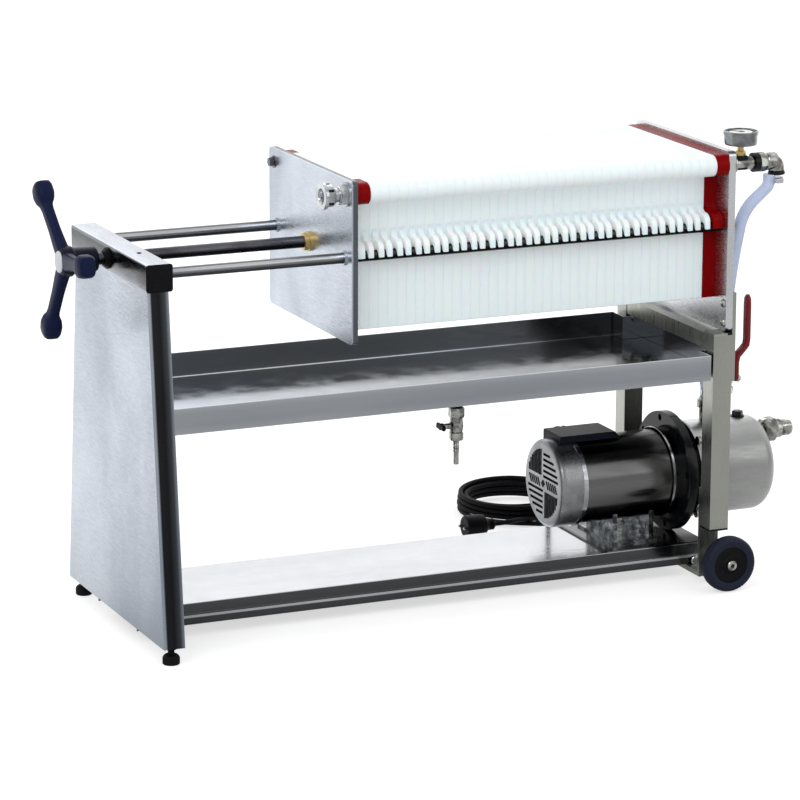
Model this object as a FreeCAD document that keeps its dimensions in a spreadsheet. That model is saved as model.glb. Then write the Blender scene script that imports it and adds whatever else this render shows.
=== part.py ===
"""Plate filter press on a wheeled stainless frame, as a parametric FreeCAD document.

X runs along the machine from the handwheel (-X) to the pump (+X), -Y is the near side and
Z is up. The origin is on the floor, under the middle of the frame. Units are millimetres.
"""
import math
import os
import re

import FreeCAD
import Part
from FreeCAD import Placement, Rotation, Vector

SIZES = {
    # end panel, beam and feet
    "panel_x": -527.4, "panel_top_half": 156.0, "panel_foot_half": 211.0, "panel_foot_z": 27.0,
    "panel_flange": 33.0, "sheet_thk": 3.0, "beam_side": 40.0, "beam_half": 164.0,
    "beam_z": 552.0, "beam_over": 4.0, "beam_wall": 2.0, "cap_thk": 3.0, "cap_round": 3.0,
    "foot_rad": 13.0, "foot_inset": 17.0, "foot_high": 15.0, "foot_stem": 5.0,
    # screw and handwheel
    "screw_rad": 9.0, "nut_rad": 16.0, "nut_thk": 8.0, "collar_rad": 15.0, "collar_long": 11.5,
    "hand_reach": 79.0, "hand_rad": 130.0, "hub_rad": 23.0, "hub_long": 18.0, "hub_set": 2.0,
    "boss_rad": 19.0, "boss_long": 40.0, "hub_cap_rad": 16.5, "hub_cap_thk": 2.5, "arm_turn": 52.5,
    "arm_waist": 20.0, "club_wide": 36.0, "club_deep": 30.0, "club_long": 32.0,
    # pressure head and rods
    "head_gap": 317.4, "head_thk": 10.0, "head_inset": 2.0, "head_bottom": 445.0,
    "head_top": 690.5, "rod_rad": 8.0, "rod_inset": 31.0, "rod_clear": 0.5, "corner_rad": 8.0,
    "bush_rad": 11.0, "bush_thk": 3.0, "rod_nut_rad": 12.0, "rod_nut_thk": 10.0,
    "bleed_hex": 12.0, "bleed_neck": 9.0, "bleed_body": 14.0, "bleed_rim": 6.0, "bleed_bore": 10.0,
    "bleed_rim_rad": 20.5,
    # plate pack
    "plate_count": 38.0, "plate_thk": 11.3, "pad_thk": 3.8, "red_thk": 20.0,
    "plate_bottom": 457.0, "plate_inset": 16.0, "lug_over": 12.0, "lug_thk": 8.4,
    "lug_first": 0.6, "lug_second": 2.3, "lug_lip": 1.4, "lug_root": 0.5, "eye_over": 10.0, "eye_z": 669.0,
    "eye_rad": 16.5, "pad_inset": 0.3, "seat_gap": 0.3,
    # fixed plate, legs
    "tail_thk": 12.0, "tail_inset": 8.0, "tail_bottom": 409.0, "leg_side": 32.0, "leg_wall": 2.0,
    "leg_set": 24.0, "leg_half": 165.0, "leg_foot_z": 97.0, "plug_thk": 3.0, "brace_low": 330.0,
    "brace_high": 470.0, "brace_thk": 6.0, "tie_high": 24.0,
    # drip tray and tap
    "tray_half": 169.0, "tray_bottom": 337.5, "tray_high": 39.5, "tray_sheet": 1.5,
    "tray_neck_clear": 1.0, "tray_inset": 1.0, "tray_shoulder": 6.0, "tap_reach": 514.0,
    "tap_y": -105.0, "tap_drop": 107.0, "drain_rad": 6.0, "stub_rad": 9.0, "barb_rad": 4.5,
    "barb_long": 37.8, "key_reach": 28.0, "key_long": 26.0, "key_high": 9.0, "key_thk": 6.0,
    # shelf, stand and wheels
    "shelf_half": 90.0, "shelf_bottom": 20.7, "shelf_high": 35.0, "shelf_bend": 15.3,
    "shelf_tuck": 4.0, "bead_rad": 1.5, "axle_z": 44.0, "wheel_rad": 44.0, "wheel_wide": 23.0,
    "wheel_gap": 4.0, "wheel_round": 5.0, "hub_plate_rad": 28.5, "hub_recess": 3.0,
    "hub_boss_rad": 11.0, "axle_bar_thk": 8.0, "axle_rad": 6.0, "axle_head_rad": 8.0,
    "axle_head_thk": 4.0, "hang_thk": 6.0, "hang_rise": 60.0, "stand_long": 175.0, "stand_thk": 2.0,
    # motor and pump
    "pump_z": 153.0, "motor_rad": 70.0, "flange_set": 1.0, "motor_long": 210.0, "cover_long": 42.0,
    "cover_round": 9.0, "cover_wall": 2.0, "grille_rad": 56.0, "slot_wide": 4.5, "slot_pitch": 9.0,
    "band_half": 10.0, "end_ring": 4.0, "ring_set": 16.0, "hole_turn": 8.0, "flange_rad": 95.0,
    "flange_thk": 30.0, "flange_rim": 14.0, "flange_hole": 5.5, "flange_hole_in": 10.0,
    "pump_rad": 76.0, "pump_long": 139.0, "pump_round": 22.0, "box_set": 19.0, "box_long": 120.0,
    "box_slope": 24.0, "box_near": 20.0, "box_far": 40.0, "box_rise": 8.0, "box_skirt": 20.0,
    "foot_set": 92.0, "foot_long": 88.0, "foot_half": 62.0, "foot_web": 8.0, "foot_sole": 4.0,
    "inlet_rise": 49.0, "inlet_rad": 13.0, "union_rad": 20.0, "union_neck": 8.0, "union_nut": 24.0,
    "union_ring": 10.0, "union_ring_rad": 15.0, "inlet_long": 17.0, "plug_set": 103.0, "outlet_set": 46.0,
    "outlet_rad": 11.0, "outlet_top": 266.0, "clamp_rad": 14.0, "clamp_high": 12.0, "clamp_set": 4.0,
    # pipework
    "hose_rad": 9.5, "pipe_rad": 10.5, "gauge_rad": 27.0, "gauge_thk": 22.0, "gauge_set": 14.0,
    "gauge_z": 709.0, "dial_deep": 2.0, "stem_rad": 5.0, "ring_rad": 15.0, "ring_long": 9.0,
    "union_hex": 15.0, "union_long": 14.0, "elbow_rad": 13.0, "elbow_long": 25.0, "elbow_back": 7.0,
    "elbow_reach": 65.0, "elbow_end": 25.0, "mouth_rad": 11.5, "mouth_drop": 20.0,
    "feed_reach": 34.0, "valve_set": 12.0, "valve_in": 33.0, "valve_z": 322.0, "valve_rad": 15.0,
    "valve_high": 44.0, "seat_high": 12.0, "spout_rad": 9.0, "spout_long": 40.0, "lever_long": 140.0,
    "lever_step": 18.0, "lever_wide": 15.0, "lever_thk": 7.0,
}

# the free mains cord: its route from the gland to the coil, chosen by hand
CORD_RAD = 4.0
CORD_ROUTE = [(254, 52, 217), (254, 100, 217), (266, 142, 186), (276, 168, 133), (286, 188, 84),
              (296, 210, 40), (306, 238, 12), (310, 270, 6)]
PLUG_ROUTE = [(214, 250, 19.5), (238, 250, 19.5), (260.4, 284.1, 12)]
COIL_MIDDLE, COIL_OUTER, COIL_INNER, COIL_HIGH = (310, 371.4, 0), 100, 62, 36
PLUG_START, PLUG_RAD, PLUG_LONG = (158, 250, 19.5), 19, 56

doc = FreeCAD.newDocument("FilterPress")
sheet = doc.addObject("Spreadsheet::Sheet", "dims")
for row, (alias, value) in enumerate(SIZES.items(), start=1):
    sheet.set(f"A{row}", alias)
    sheet.set(f"B{row}", repr(value))
    sheet.setAlias(f"B{row}", alias)
doc.recompute()
SUB_PARTS = []


def bound(text):
    """An expression with each size's name turned into its spreadsheet cell."""
    return re.sub(r"[a-z]+(?:_[a-z]+)+", lambda m: "dims." + m.group(0), str(text))


def size(name):
    """The number that a cell of the spreadsheet holds."""
    return float(sheet.get(name))


def value(text):
    """The number that an expression of the spreadsheet's sizes gives."""
    return float(sheet.evalExpression(bound(text).replace("dims.", "")))


def keep(label, item):
    """Names a finished sub-part, so that its shape is written to parts/."""
    item.Label = label
    SUB_PARTS.append(item)
    return item


def place(item, at, rotation=None):
    """Binds the position of an item to three expressions."""
    if rotation is not None:
        item.Placement = Placement(Vector(), rotation)
    for axis, text in zip("xyz", at):
        item.setExpression(f"Placement.Base.{axis}", bound(text))
    return item


def solid(kind, name, at, rotation=None, **sizes):
    """A primitive whose sizes and position are expressions."""
    item = doc.addObject(kind, name)
    for key, text in sizes.items():
        item.setExpression(key, bound(text))
    return place(item, at, rotation)


def box(length, width, height, at):
    """A block from its low corner."""
    return solid("Part::Box", "block", at, Length=length, Width=width, Height=height)


TURNS = {"x": Rotation(Vector(0, 1, 0), 90), "y": Rotation(Vector(1, 0, 0), -90), "z": Rotation()}


def rod(radius, length, at, axis="z"):
    """A cylinder from a point, along +X, +Y or +Z."""
    return solid("Part::Cylinder", "round", at, TURNS[axis], Radius=radius, Height=length)


def hexagon(radius, length, at, axis="z"):
    """A six-sided nut or plug from a point, along +X, +Y or +Z."""
    item = solid("Part::Prism", "hexagon", at, TURNS[axis], Circumradius=radius, Height=length)
    item.Polygon = 6
    return item


def fuse(*items):
    """One solid of several that meet."""
    item = doc.addObject("Part::MultiFuse", "joined")
    item.Shapes = list(items)
    item.Refine = True
    return item


def cut(base, *tools):
    """A base with tools taken out of it."""
    item = doc.addObject("Part::Cut", "opened")
    item.Base = base
    item.Tool = tools[0] if len(tools) == 1 else fuse(*tools)
    return item


def rounded(base, radius, pick):
    """A fillet on the edges of a base that pick chooses."""
    doc.recompute()
    item = doc.addObject("Part::Fillet", "rounded")
    item.Base = base
    item.Edges = [(n, radius, radius) for n, edge in enumerate(base.Shape.Edges, start=1) if pick(edge)]
    return item


def chamfered(base, setback, pick):
    """A chamfer on the edges of a base that pick chooses."""
    doc.recompute()
    item = doc.addObject("Part::Chamfer", "chamfered")
    item.Base = base
    item.Edges = [(n, setback, setback) for n, edge in enumerate(base.Shape.Edges, start=1) if pick(edge)]
    return item


def group(*items):
    """Solids of one sub-part that don't touch."""
    item = doc.addObject("Part::Compound", "group")
    item.Links = list(items)
    return item


def made(shape):
    """An object whose shape Part's own functions made from the spreadsheet's numbers."""
    item = doc.addObject("Part::Feature", "made")
    item.Shape = shape
    return item


def runs_along(axis):
    """A test for straight edges that run along X, Y or Z."""
    way = {"x": Vector(1, 0, 0), "y": Vector(0, 1, 0), "z": Vector(0, 0, 1)}[axis]

    def test(edge):
        ends = [v.Point for v in edge.Vertexes]
        return len(ends) == 2 and abs((ends[1] - ends[0]).normalize().dot(way)) > 0.999
    return test


def rim_at(x):
    """A test for a round edge that lies square to X at a place."""
    return lambda edge: edge.Closed and edge.BoundBox.XLength < 1e-6 and abs(edge.BoundBox.XMin - x) < 1e-3


def prism(points, along):
    """A solid with a flat outline of straight sides."""
    return Part.Face(Part.makePolygon([*points, points[0]])).extrude(along)


# places that several sub-parts share, as expressions
SCREW_Z = "(beam_z + beam_side / 2)"
BEAM_LOW = "(panel_x - beam_over)"
BEAM_HIGH = f"({BEAM_LOW} + beam_side)"
HEAD_X = "(panel_x + head_gap)"
PACK_X = f"({HEAD_X} + head_thk)"
PITCH = "(plate_thk + pad_thk)"
TAIL_X = f"({PACK_X} + 2 * red_thk + plate_count * {PITCH} + pad_thk)"
TAIL_BACK = f"({TAIL_X} + tail_thk)"
TAIL_HALF = "(leg_half - tail_inset)"
HEAD_HALF = "(leg_half - head_inset)"
ROD_Y = "(leg_half - rod_inset)"
PLATE_HALF = f"({ROD_Y} - plate_inset)"
LUG_HALF = f"({ROD_Y} + lug_over)"
EYE_Y = f"({ROD_Y} + eye_over)"
LEG_X = f"({TAIL_X} - leg_set)"
LEG_BACK = f"({LEG_X} + leg_side)"
LEG_IN = "(leg_half - leg_side)"
LEG_TOP = "(tail_bottom - plug_thk - seat_gap)"
HAND_X = "(panel_x - hand_reach)"
FLANGE_X = f"({LEG_X} + flange_set)"
MOTOR_X = f"({FLANGE_X} - motor_long)"
PUMP_X = f"({FLANGE_X} + flange_thk)"
PUMP_END = f"({PUMP_X} + pump_long)"
OUTLET_X = f"({PUMP_X} + outlet_set)"
TAP_X = "(panel_x + tap_reach)"
GAUGE_X = f"({TAIL_BACK} + gauge_set)"
ELBOW_X = f"({TAIL_BACK} + elbow_reach)"
FEED_X = f"({TAIL_BACK} + feed_reach)"
VALVE_X = f"({TAIL_BACK} + valve_set)"
VALVE_Y = f"(valve_in - {EYE_Y})"
LEVER_X = f"({VALVE_X} + valve_rad + seat_gap)"
SHELF_TOP = "(shelf_bottom + shelf_high)"
AXLE_X = f"({LEG_X} + leg_side * 0.8)"
SIDES = (("near", -1), ("far", 1))
FLANGE_HOLES = 8


def make_end_panel():
    """The tapered end panel, folded along both sides and at its foot."""
    top, foot = size("panel_top_half"), size("panel_foot_half")
    low, high = size("panel_foot_z"), size("beam_z")
    sheet_thk, flange, x = size("sheet_thk"), size("panel_flange"), size("panel_x")
    slope = (foot - top) / (high - low)
    lean = sheet_thk * math.hypot(1, slope)

    def outline(inset, start):
        base = foot - slope * (start - low)
        return [Vector(x, -base + inset, start), Vector(x, base - inset, start),
                Vector(x, top - inset, high), Vector(x, -top + inset, high)]

    outer = prism(outline(0, low), Vector(flange, 0, 0))
    inner = prism(outline(lean, low + sheet_thk), Vector(flange, 0, 0))
    inner.translate(Vector(sheet_thk, 0, 0))
    gap = size("shelf_half") + size("bead_rad") + size("seat_gap")
    notch = Part.makeBox(flange, 2 * gap, sheet_thk, Vector(x + sheet_thk, -gap, low))
    keep("end_panel", made(outer.cut(inner).cut(notch)))


def make_beam():
    """The square tube across the panel's top, its end caps and the screw's flanged nut."""
    bar = box("beam_side", "2 * beam_half", "beam_side", (BEAM_LOW, "-beam_half", "beam_z"))
    hollow = box("beam_side - 2 * beam_wall", "2 * beam_half", "beam_side - 2 * beam_wall",
                 (f"{BEAM_LOW} + beam_wall", "-beam_half", "beam_z + beam_wall"))
    way = rod("screw_rad + rod_clear", "beam_side", (BEAM_LOW, 0, SCREW_Z), "x")
    keep("top_beam", cut(bar, hollow, way))
    caps = []
    for _, side in SIDES:
        y = "-beam_half - cap_thk" if side < 0 else "beam_half"
        cap = box("beam_side", "cap_thk", "beam_side", (BEAM_LOW, y, "beam_z"))
        caps.append(rounded(cap, size("cap_round"), runs_along("y")))
    keep("beam_caps", group(*caps))
    ring = rod("nut_rad", "nut_thk / 2", (f"{BEAM_LOW} - nut_thk / 2", 0, SCREW_Z), "x")
    neck = rod("nut_rad - cap_thk", "nut_thk", (f"{BEAM_LOW} - nut_thk", 0, SCREW_Z), "x")
    bore = rod("screw_rad + rod_clear", "nut_thk", (f"{BEAM_LOW} - nut_thk", 0, SCREW_Z), "x")
    keep("screw_nut", cut(fuse(ring, neck), bore))


def make_feet():
    """Two rubber levelling feet under the panel's folded foot."""
    feet = []
    for _, side in SIDES:
        at = ("panel_x + foot_inset", f"{side} * (panel_foot_half - foot_inset)")
        pad = rod("foot_rad", "foot_high", (*at, 0))
        stem = rod("foot_stem", "panel_foot_z - foot_high", (*at, "foot_high"))
        feet.append(fuse(pad, stem))
    keep("feet", group(*feet))


def arm_section(reach, wide, deep, set_back):
    """A rectangle with cut corners across an arm, at a distance from the hub."""
    soft = 0.25 * min(wide, deep)
    half_wide, half_deep = wide / 2, deep / 2
    corners = [(1, 1, 1), (1, 1, 0), (1, -1, 0), (1, -1, 1), (-1, -1, 1), (-1, -1, 0), (-1, 1, 0), (-1, 1, 1)]
    points = [Vector(set_back + sx * (half_deep - soft * cut_x), sy * (half_wide - soft * (1 - cut_x)), reach)
              for sx, sy, cut_x in corners]
    return Part.makePolygon(points + points[:1])


def make_screw():
    """The spindle, the brass thrust collar and the handwheel with three club arms."""
    start = f"({HAND_X} - hub_set + hub_long)"
    keep("screw", rod("screw_rad", f"{HEAD_X} - collar_long - {start}", (start, 0, SCREW_Z), "x"))
    keep("thrust_collar", rod("collar_rad", "collar_long", (f"{HEAD_X} - collar_long", 0, SCREW_Z), "x"))
    front = f"({HAND_X} - hub_set)"
    hub = rod("hub_rad", "hub_long", (front, 0, SCREW_Z), "x")
    boss = rod("boss_rad", "boss_long", (f"{front} + hub_long", 0, SCREW_Z), "x")
    bore = rod("screw_rad", "boss_long", (f"{front} + hub_long", 0, SCREW_Z), "x")
    tip, long, waist = size("hand_rad"), size("club_long"), size("arm_waist")
    wide, deep = size("club_wide"), size("club_deep")
    hub_set = size("hub_long") / 2 - size("hub_set")
    sections = [arm_section(size("hub_rad") * 0.3, waist * 1.3, size("hub_long") * 0.9, hub_set),
                arm_section(tip * 0.45, waist, waist * 0.8, hub_set / 2),
                arm_section(tip - long * 1.35, waist, waist * 0.85, 0),
                arm_section(tip - long * 0.8, wide, deep, 0),
                arm_section(tip - long * 0.25, wide, deep, 0), arm_section(tip, wide * 0.75, deep * 0.7, 0)]
    arm = Part.makeLoft(sections, True, True)
    arms = []
    for number in range(3):
        turned = arm.copy()
        turned.rotate(Vector(), Vector(1, 0, 0), size("arm_turn") + 120 * number - 90)
        turned.translate(Vector(value(HAND_X), 0, value(SCREW_Z)))
        arms.append(made(turned))
    keep("handwheel", fuse(hub, cut(boss, bore), *arms))
    keep("handwheel_cap", rod("hub_cap_rad", "hub_cap_thk",
                              (f"{front} - hub_cap_thk", 0, SCREW_Z), "x"))


def make_head():
    """The pressure head that the screw pushes along the rods, with a bush for each rod."""
    slab = box("head_thk", f"2 * {HEAD_HALF}", "head_top - head_bottom",
               (HEAD_X, f"-{HEAD_HALF}", "head_bottom"))
    soft = rounded(slab, size("corner_rad"), runs_along("x"))
    at = [(f"{HEAD_X} - bush_thk", f"{side} * {ROD_Y}", SCREW_Z) for _, side in SIDES]
    holes = [rod("rod_rad + rod_clear", "head_thk + bush_thk", spot, "x") for spot in at]
    bushes = [rod("bush_rad", "bush_thk", spot, "x") for spot in at]
    keep("pressure_head", cut(fuse(soft, *bushes), *holes))


def make_bleed_fitting():
    """The screwed nipple with its ring nut on the near eye of the pressure head."""
    at = (f"-{EYE_Y}", "eye_z")
    pieces = []
    reach = "0"
    for kind, radius, long in ((hexagon, "eye_rad", "bleed_hex"), (rod, "bleed_bore", "bleed_neck"),
                               (rod, "eye_rad", "bleed_body"), (rod, "bleed_rim_rad", "bleed_rim")):
        reach = f"{reach} + {long}"
        pieces.append(kind(radius, long, (f"{HEAD_X} - ({reach})", *at), "x"))
    mouth = rod("bleed_bore", "bleed_rim / 2", (f"{HEAD_X} - ({reach})", *at), "x")
    keep("bleed_fitting", cut(fuse(*pieces), mouth))


def make_rods():
    """The two guide rods from the beam through the fixed plate, with a nut behind it."""
    nuts = []
    for name, side in SIDES:
        y = f"{side} * {ROD_Y}"
        keep(f"guide_rod_{name}", rod("rod_rad", f"{TAIL_BACK} + rod_nut_thk - {BEAM_HIGH}",
                                      (BEAM_HIGH, y, SCREW_Z), "x"))
        nut = hexagon("rod_nut_rad", "rod_nut_thk", (TAIL_BACK, y, SCREW_Z), "x")
        bore = rod("rod_rad", "rod_nut_thk", (TAIL_BACK, y, SCREW_Z), "x")
        nuts.append(cut(nut, bore))
    keep("rod_nuts", group(*nuts))


def mirrored(points):
    """An outline's points on the other side of Y = 0."""
    return [Vector(p.x, -p.y, p.z) for p in points]


def lug_outline(x):
    """One rod lug: a slope from the plate's side out over the rod, and a lip down outside it."""
    half, out = value(PLATE_HALF), value(LUG_HALF)
    rod_y, axis = value(ROD_Y), value(SCREW_Z)
    seat = size("rod_rad") + size("seat_gap")
    crown, low = axis + seat, axis - size("lug_lip")
    bend = seat * math.tan(math.pi / 8)
    shoulder = crown + out - half
    root = half - size("lug_root")
    corners = [(root, low), (root, shoulder), (half, shoulder), (out, crown), (out, low), (rod_y + seat, low),
               (rod_y + seat, axis + bend), (rod_y + bend, crown), (rod_y - bend, crown),
               (rod_y - seat, axis + bend), (rod_y - seat, low)]
    return [Vector(x, y, z) for y, z in corners]


def eye_outline(x):
    """One corner eye with the web that joins it to the plate, its top level with the plate's."""
    half, eye_y, eye_z, eye = value(PLATE_HALF), value(EYE_Y), size("eye_z"), size("eye_rad")
    root, sides = half - size("pad_inset") / 2, 6
    turns = [math.radians(90 - 225 * n / sides) for n in range(sides + 1)]
    rim = [Vector(x, eye_y + eye * math.cos(turn), eye_z + eye * math.sin(turn)) for turn in turns]
    return [Vector(x, root, rim[-1].z), Vector(x, root, eye_z + eye), *rim]


def plate(thk, lug_at, lug_thk, eye_at, eye_thk):
    """A filter plate with its low face at X = 0: a slab, two rod lugs and two corner eyes."""
    half, low = value(PLATE_HALF), size("plate_bottom")
    high = size("eye_z") + size("eye_rad")
    whole = Part.makeBox(thk, 2 * half, high - low, Vector(0, -half, low))
    for outline, at, deep in ((lug_outline, lug_at, lug_thk), (eye_outline, eye_at, eye_thk)):
        points = outline(at)
        for ring in (points, mirrored(points)):
            whole = whole.fuse(prism(ring, Vector(deep, 0, 0)))
    return whole.removeSplitter()


def make_pack():
    """The closed pack: lugged plates with a filter pad between each two, and red end plates."""
    count, thk, pad, red = int(size("plate_count")), size("plate_thk"), size("pad_thk"), size("red_thk")
    pitch, gap = thk + pad, size("seat_gap")
    start = value(PACK_X)
    first = start + red + pad
    eye_at, eye_thk = (gap - pad) / 2, pitch - gap
    kinds = [plate(thk, size(name), size("lug_thk"), eye_at, eye_thk) for name in ("lug_first", "lug_second")]
    plates = [kinds[n % 2].translated(Vector(first + n * pitch, 0, 0)) for n in range(count)]
    keep("filter_plates", made(Part.makeCompound(plates)))
    inset = size("pad_inset")
    half, low = value(PLATE_HALF) - inset, size("plate_bottom") + inset
    tall = size("eye_z") + size("eye_rad") - inset - low
    leaf = Part.makeBox(pad, 2 * half, tall, Vector(0, -half, low))
    edge = [start + red + n * pitch for n in range(count + 1)]
    keep("filter_pads", made(Part.makeCompound([leaf.translated(Vector(x, 0, 0)) for x in edge])))
    reach = red + (pad - gap) / 2
    head_end = plate(red, 0, red, 0, reach)
    tail_end = plate(red, 0, red, red - reach, reach)
    keep("end_plate_head", made(head_end.translated(Vector(start, 0, 0))))
    keep("end_plate_tail", made(tail_end.translated(Vector(edge[-1] + pad, 0, 0))))


def make_tail():
    """The fixed plate that the rods and the end plate's ports go through."""
    slab = box("tail_thk", f"2 * {TAIL_HALF}", "head_top - tail_bottom",
               (TAIL_X, f"-{TAIL_HALF}", "tail_bottom"))
    soft = rounded(slab, size("corner_rad"), runs_along("x"))
    holes = [rod("rod_rad", "tail_thk", (TAIL_X, f"{side} * {ROD_Y}", SCREW_Z), "x") for _, side in SIDES]
    keep("fixed_plate", cut(soft, *holes))


def make_legs():
    """Two square legs with end plugs, the straps that hold the fixed plate, and a tie."""
    straps = []
    plugs = []
    for name, side in SIDES:
        low_y = "-leg_half" if side < 0 else LEG_IN
        long = f"{LEG_TOP} - leg_foot_z"
        tube = box("leg_side", "leg_side", long, (LEG_X, low_y, "leg_foot_z"))
        hollow = box("leg_side - 2 * leg_wall", "leg_side - 2 * leg_wall", long,
                     (f"{LEG_X} + leg_wall", f"{low_y} + leg_wall", "leg_foot_z"))
        keep(f"leg_{name}", cut(tube, hollow))
        for level in (LEG_TOP, "(leg_foot_z - plug_thk)"):
            plugs.append(box("leg_side", "leg_side", "plug_thk", (LEG_X, low_y, level)))
        strap_y = f"-{TAIL_HALF}" if side < 0 else LEG_IN
        wide = f"{TAIL_HALF} - {LEG_IN}"
        upper = box("brace_thk", wide, "brace_high - brace_low", (TAIL_BACK, strap_y, "brace_low"))
        lower = box(f"{TAIL_BACK} - {LEG_BACK}", wide, f"{LEG_TOP} - brace_low",
                    (LEG_BACK, strap_y, "brace_low"))
        straps.append(fuse(upper, lower))
    keep("leg_straps", group(*straps))
    keep("leg_plugs", group(*plugs))
    keep("leg_tie", box("leg_side", f"2 * {LEG_IN}", "tie_high",
                        (LEG_X, f"-{LEG_IN}", f"{LEG_TOP} - tie_high")))


def make_tray():
    """The drip tray: open on top, narrowed at its end to pass between the legs."""
    start = "(panel_x + sheet_thk)"
    shoulder = f"({LEG_X} - tray_shoulder)"
    end = f"({LEG_BACK} - tray_inset)"
    neck = f"({LEG_IN} - tray_neck_clear)"
    inner_neck = f"({neck} - tray_sheet)"
    wide = box(f"{shoulder} - {start}", "2 * tray_half", "tray_high", (start, "-tray_half", "tray_bottom"))
    tail = box(f"{end} - {shoulder}", f"2 * {neck}", "tray_high", (shoulder, f"-{neck}", "tray_bottom"))
    hollow = box(f"{shoulder} - {start} - 2 * tray_sheet", "2 * (tray_half - tray_sheet)", "tray_high",
                 (f"{start} + tray_sheet", "-(tray_half - tray_sheet)", "tray_bottom + tray_sheet"))
    hollow_tail = box(f"{end} - {shoulder}", f"2 * {inner_neck}", "tray_high",
                      (f"{shoulder} - tray_sheet", f"-{inner_neck}", "tray_bottom + tray_sheet"))
    drain = rod("drain_rad", "tray_sheet", (TAP_X, "tap_y", "tray_bottom"))
    keep("drip_tray", cut(fuse(wide, tail), fuse(hollow, hollow_tail), drain))


def make_tap():
    """The drain tap under the tray: stub, nuts, small ball valve, hose barb and its key."""
    at = (TAP_X, "tap_y")
    body = "(tap_drop - barb_long)"
    shares = ((rod, "stub_rad", 0.3), (hexagon, "stub_rad * 1.35", 0.22), (rod, "stub_rad * 1.1", 0.3),
              (hexagon, "stub_rad * 1.2", 0.18))
    pieces = []
    level = 0.0
    for kind, radius, share in shares:
        level += share
        pieces.append(kind(radius, f"{body} * {share}", (*at, f"tray_bottom - {body} * {level:.2f}")))
    pieces.append(rod("barb_rad", "barb_long", (*at, "tray_bottom - tap_drop")))
    key_z = f"(tray_bottom - {body} * 0.67)"
    pieces.append(rod("barb_rad", "key_reach - key_thk",
                      (f"{TAP_X} - key_reach + key_thk", "tap_y", key_z), "x"))
    keep("drain_tap", fuse(*pieces))
    key = box("key_thk", "key_long", "key_high",
              (f"{TAP_X} - key_reach - seat_gap", "tap_y - key_long / 2", f"{key_z} - key_high / 2"))
    keep("drain_handle", rounded(key, size("key_high") * 0.4, runs_along("x")))


def shelf_outline(x, inset, open_by):
    """The shelf's folded section: a flat top, upright flanges and bands tucked in below them."""
    half, low, high = size("shelf_half") - inset, size("shelf_bottom") - open_by, value(SHELF_TOP) - inset
    bend, base = size("shelf_bottom") + size("shelf_bend"), half - size("shelf_tuck")
    return [Vector(x, -half, high), Vector(x, -half, bend), Vector(x, -base, low),
            Vector(x, base, low), Vector(x, half, bend), Vector(x, half, high)]


def make_shelf():
    """The low flat shelf, the plate under the motor and the bar that carries the wheels."""
    start = value("panel_x + sheet_thk")
    long = value(LEG_BACK) - start
    wall = size("stand_thk")
    shell = prism(shelf_outline(start, 0, 0), Vector(long, 0, 0))
    room = prism(shelf_outline(start, wall, wall), Vector(long, 0, 0))
    bend = size("shelf_bottom") + size("shelf_bend")
    for _, side in SIDES:
        at = Vector(start, side * size("shelf_half"), bend)
        shell = shell.fuse(Part.makeCylinder(size("bead_rad"), long, at, Vector(1, 0, 0)))
    keep("shelf", made(shell.cut(room).removeSplitter()))
    keep("motor_stand", box("stand_long", "2 * shelf_half", "stand_thk",
                            (f"{LEG_BACK} - stand_long", "-shelf_half", SHELF_TOP)))
    keep("axle_bar", box("leg_side", f"2 * ({LEG_IN} - hang_thk)", "axle_bar_thk",
                         (LEG_X, f"-({LEG_IN} - hang_thk)", "shelf_bottom - axle_bar_thk")))


def make_wheels():
    """A hanger plate, an axle bolt and a wheel with a recessed hub plate at each leg."""
    hangers = []
    bolts = []
    low = "(shelf_bottom - axle_bar_thk)"
    tyre_in = "(leg_half + wheel_gap)"
    tyre_out = f"({tyre_in} + wheel_wide)"
    for name, side in SIDES:
        in_y = f"-{LEG_IN}" if side < 0 else f"({LEG_IN} - hang_thk)"
        hanger = box("leg_side", "hang_thk", f"leg_foot_z + hang_rise - {low}", (LEG_X, in_y, low))
        hangers.append(cut(hanger, rod("axle_rad", "hang_thk", (AXLE_X, in_y, "axle_z"), "y")))
        long = f"({tyre_out} - {LEG_IN} + 2 * hang_thk)"
        bolt_y = f"-{tyre_out}" if side < 0 else f"({LEG_IN} - 2 * hang_thk)"
        head_y = f"(-{tyre_out} - axle_head_thk)" if side < 0 else tyre_out
        bolts.append(fuse(rod("axle_rad", long, (AXLE_X, bolt_y, "axle_z"), "y"),
                          rod("axle_head_rad", "axle_head_thk", (AXLE_X, head_y, "axle_z"), "y")))
        tyre_y = f"-{tyre_out}" if side < 0 else tyre_in
        tyre = rod("wheel_rad", "wheel_wide", (AXLE_X, tyre_y, "wheel_rad"), "y")
        soft = chamfered(tyre, size("wheel_round"), lambda edge: edge.Closed)
        tools = [rod("axle_rad + rod_clear", "wheel_wide", (AXLE_X, tyre_y, "axle_z"), "y")]
        for face in (tyre_y, f"{tyre_y} + wheel_wide - hub_recess"):
            tools.append(cut(rod("hub_plate_rad", "hub_recess", (AXLE_X, face, "axle_z"), "y"),
                             rod("hub_boss_rad", "hub_recess", (AXLE_X, face, "axle_z"), "y")))
        keep(f"wheel_{name}", cut(soft, *tools))
    keep("wheel_hangers", group(*hangers))
    keep("axle_bolts", group(*bolts))


def grille_slots(x, deep):
    """The broad slots of the fan cover, in two opposite quarters."""
    reach, wide, pitch = size("grille_rad"), size("slot_wide"), size("slot_pitch")
    slots = []
    for turn in (0, 180):
        level = size("band_half")
        while level + wide < reach:
            long = math.sqrt(reach ** 2 - (level + wide) ** 2)
            slot = Part.makeBox(deep, long, wide, Vector(x, -long, level))
            slot.rotate(Vector(x, 0, 0), Vector(1, 0, 0), turn)
            slots.append(slot)
            level += pitch
    cutter = Part.makeCompound(slots)
    cutter.translate(Vector(0, 0, size("pump_z")))
    return cutter


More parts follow.
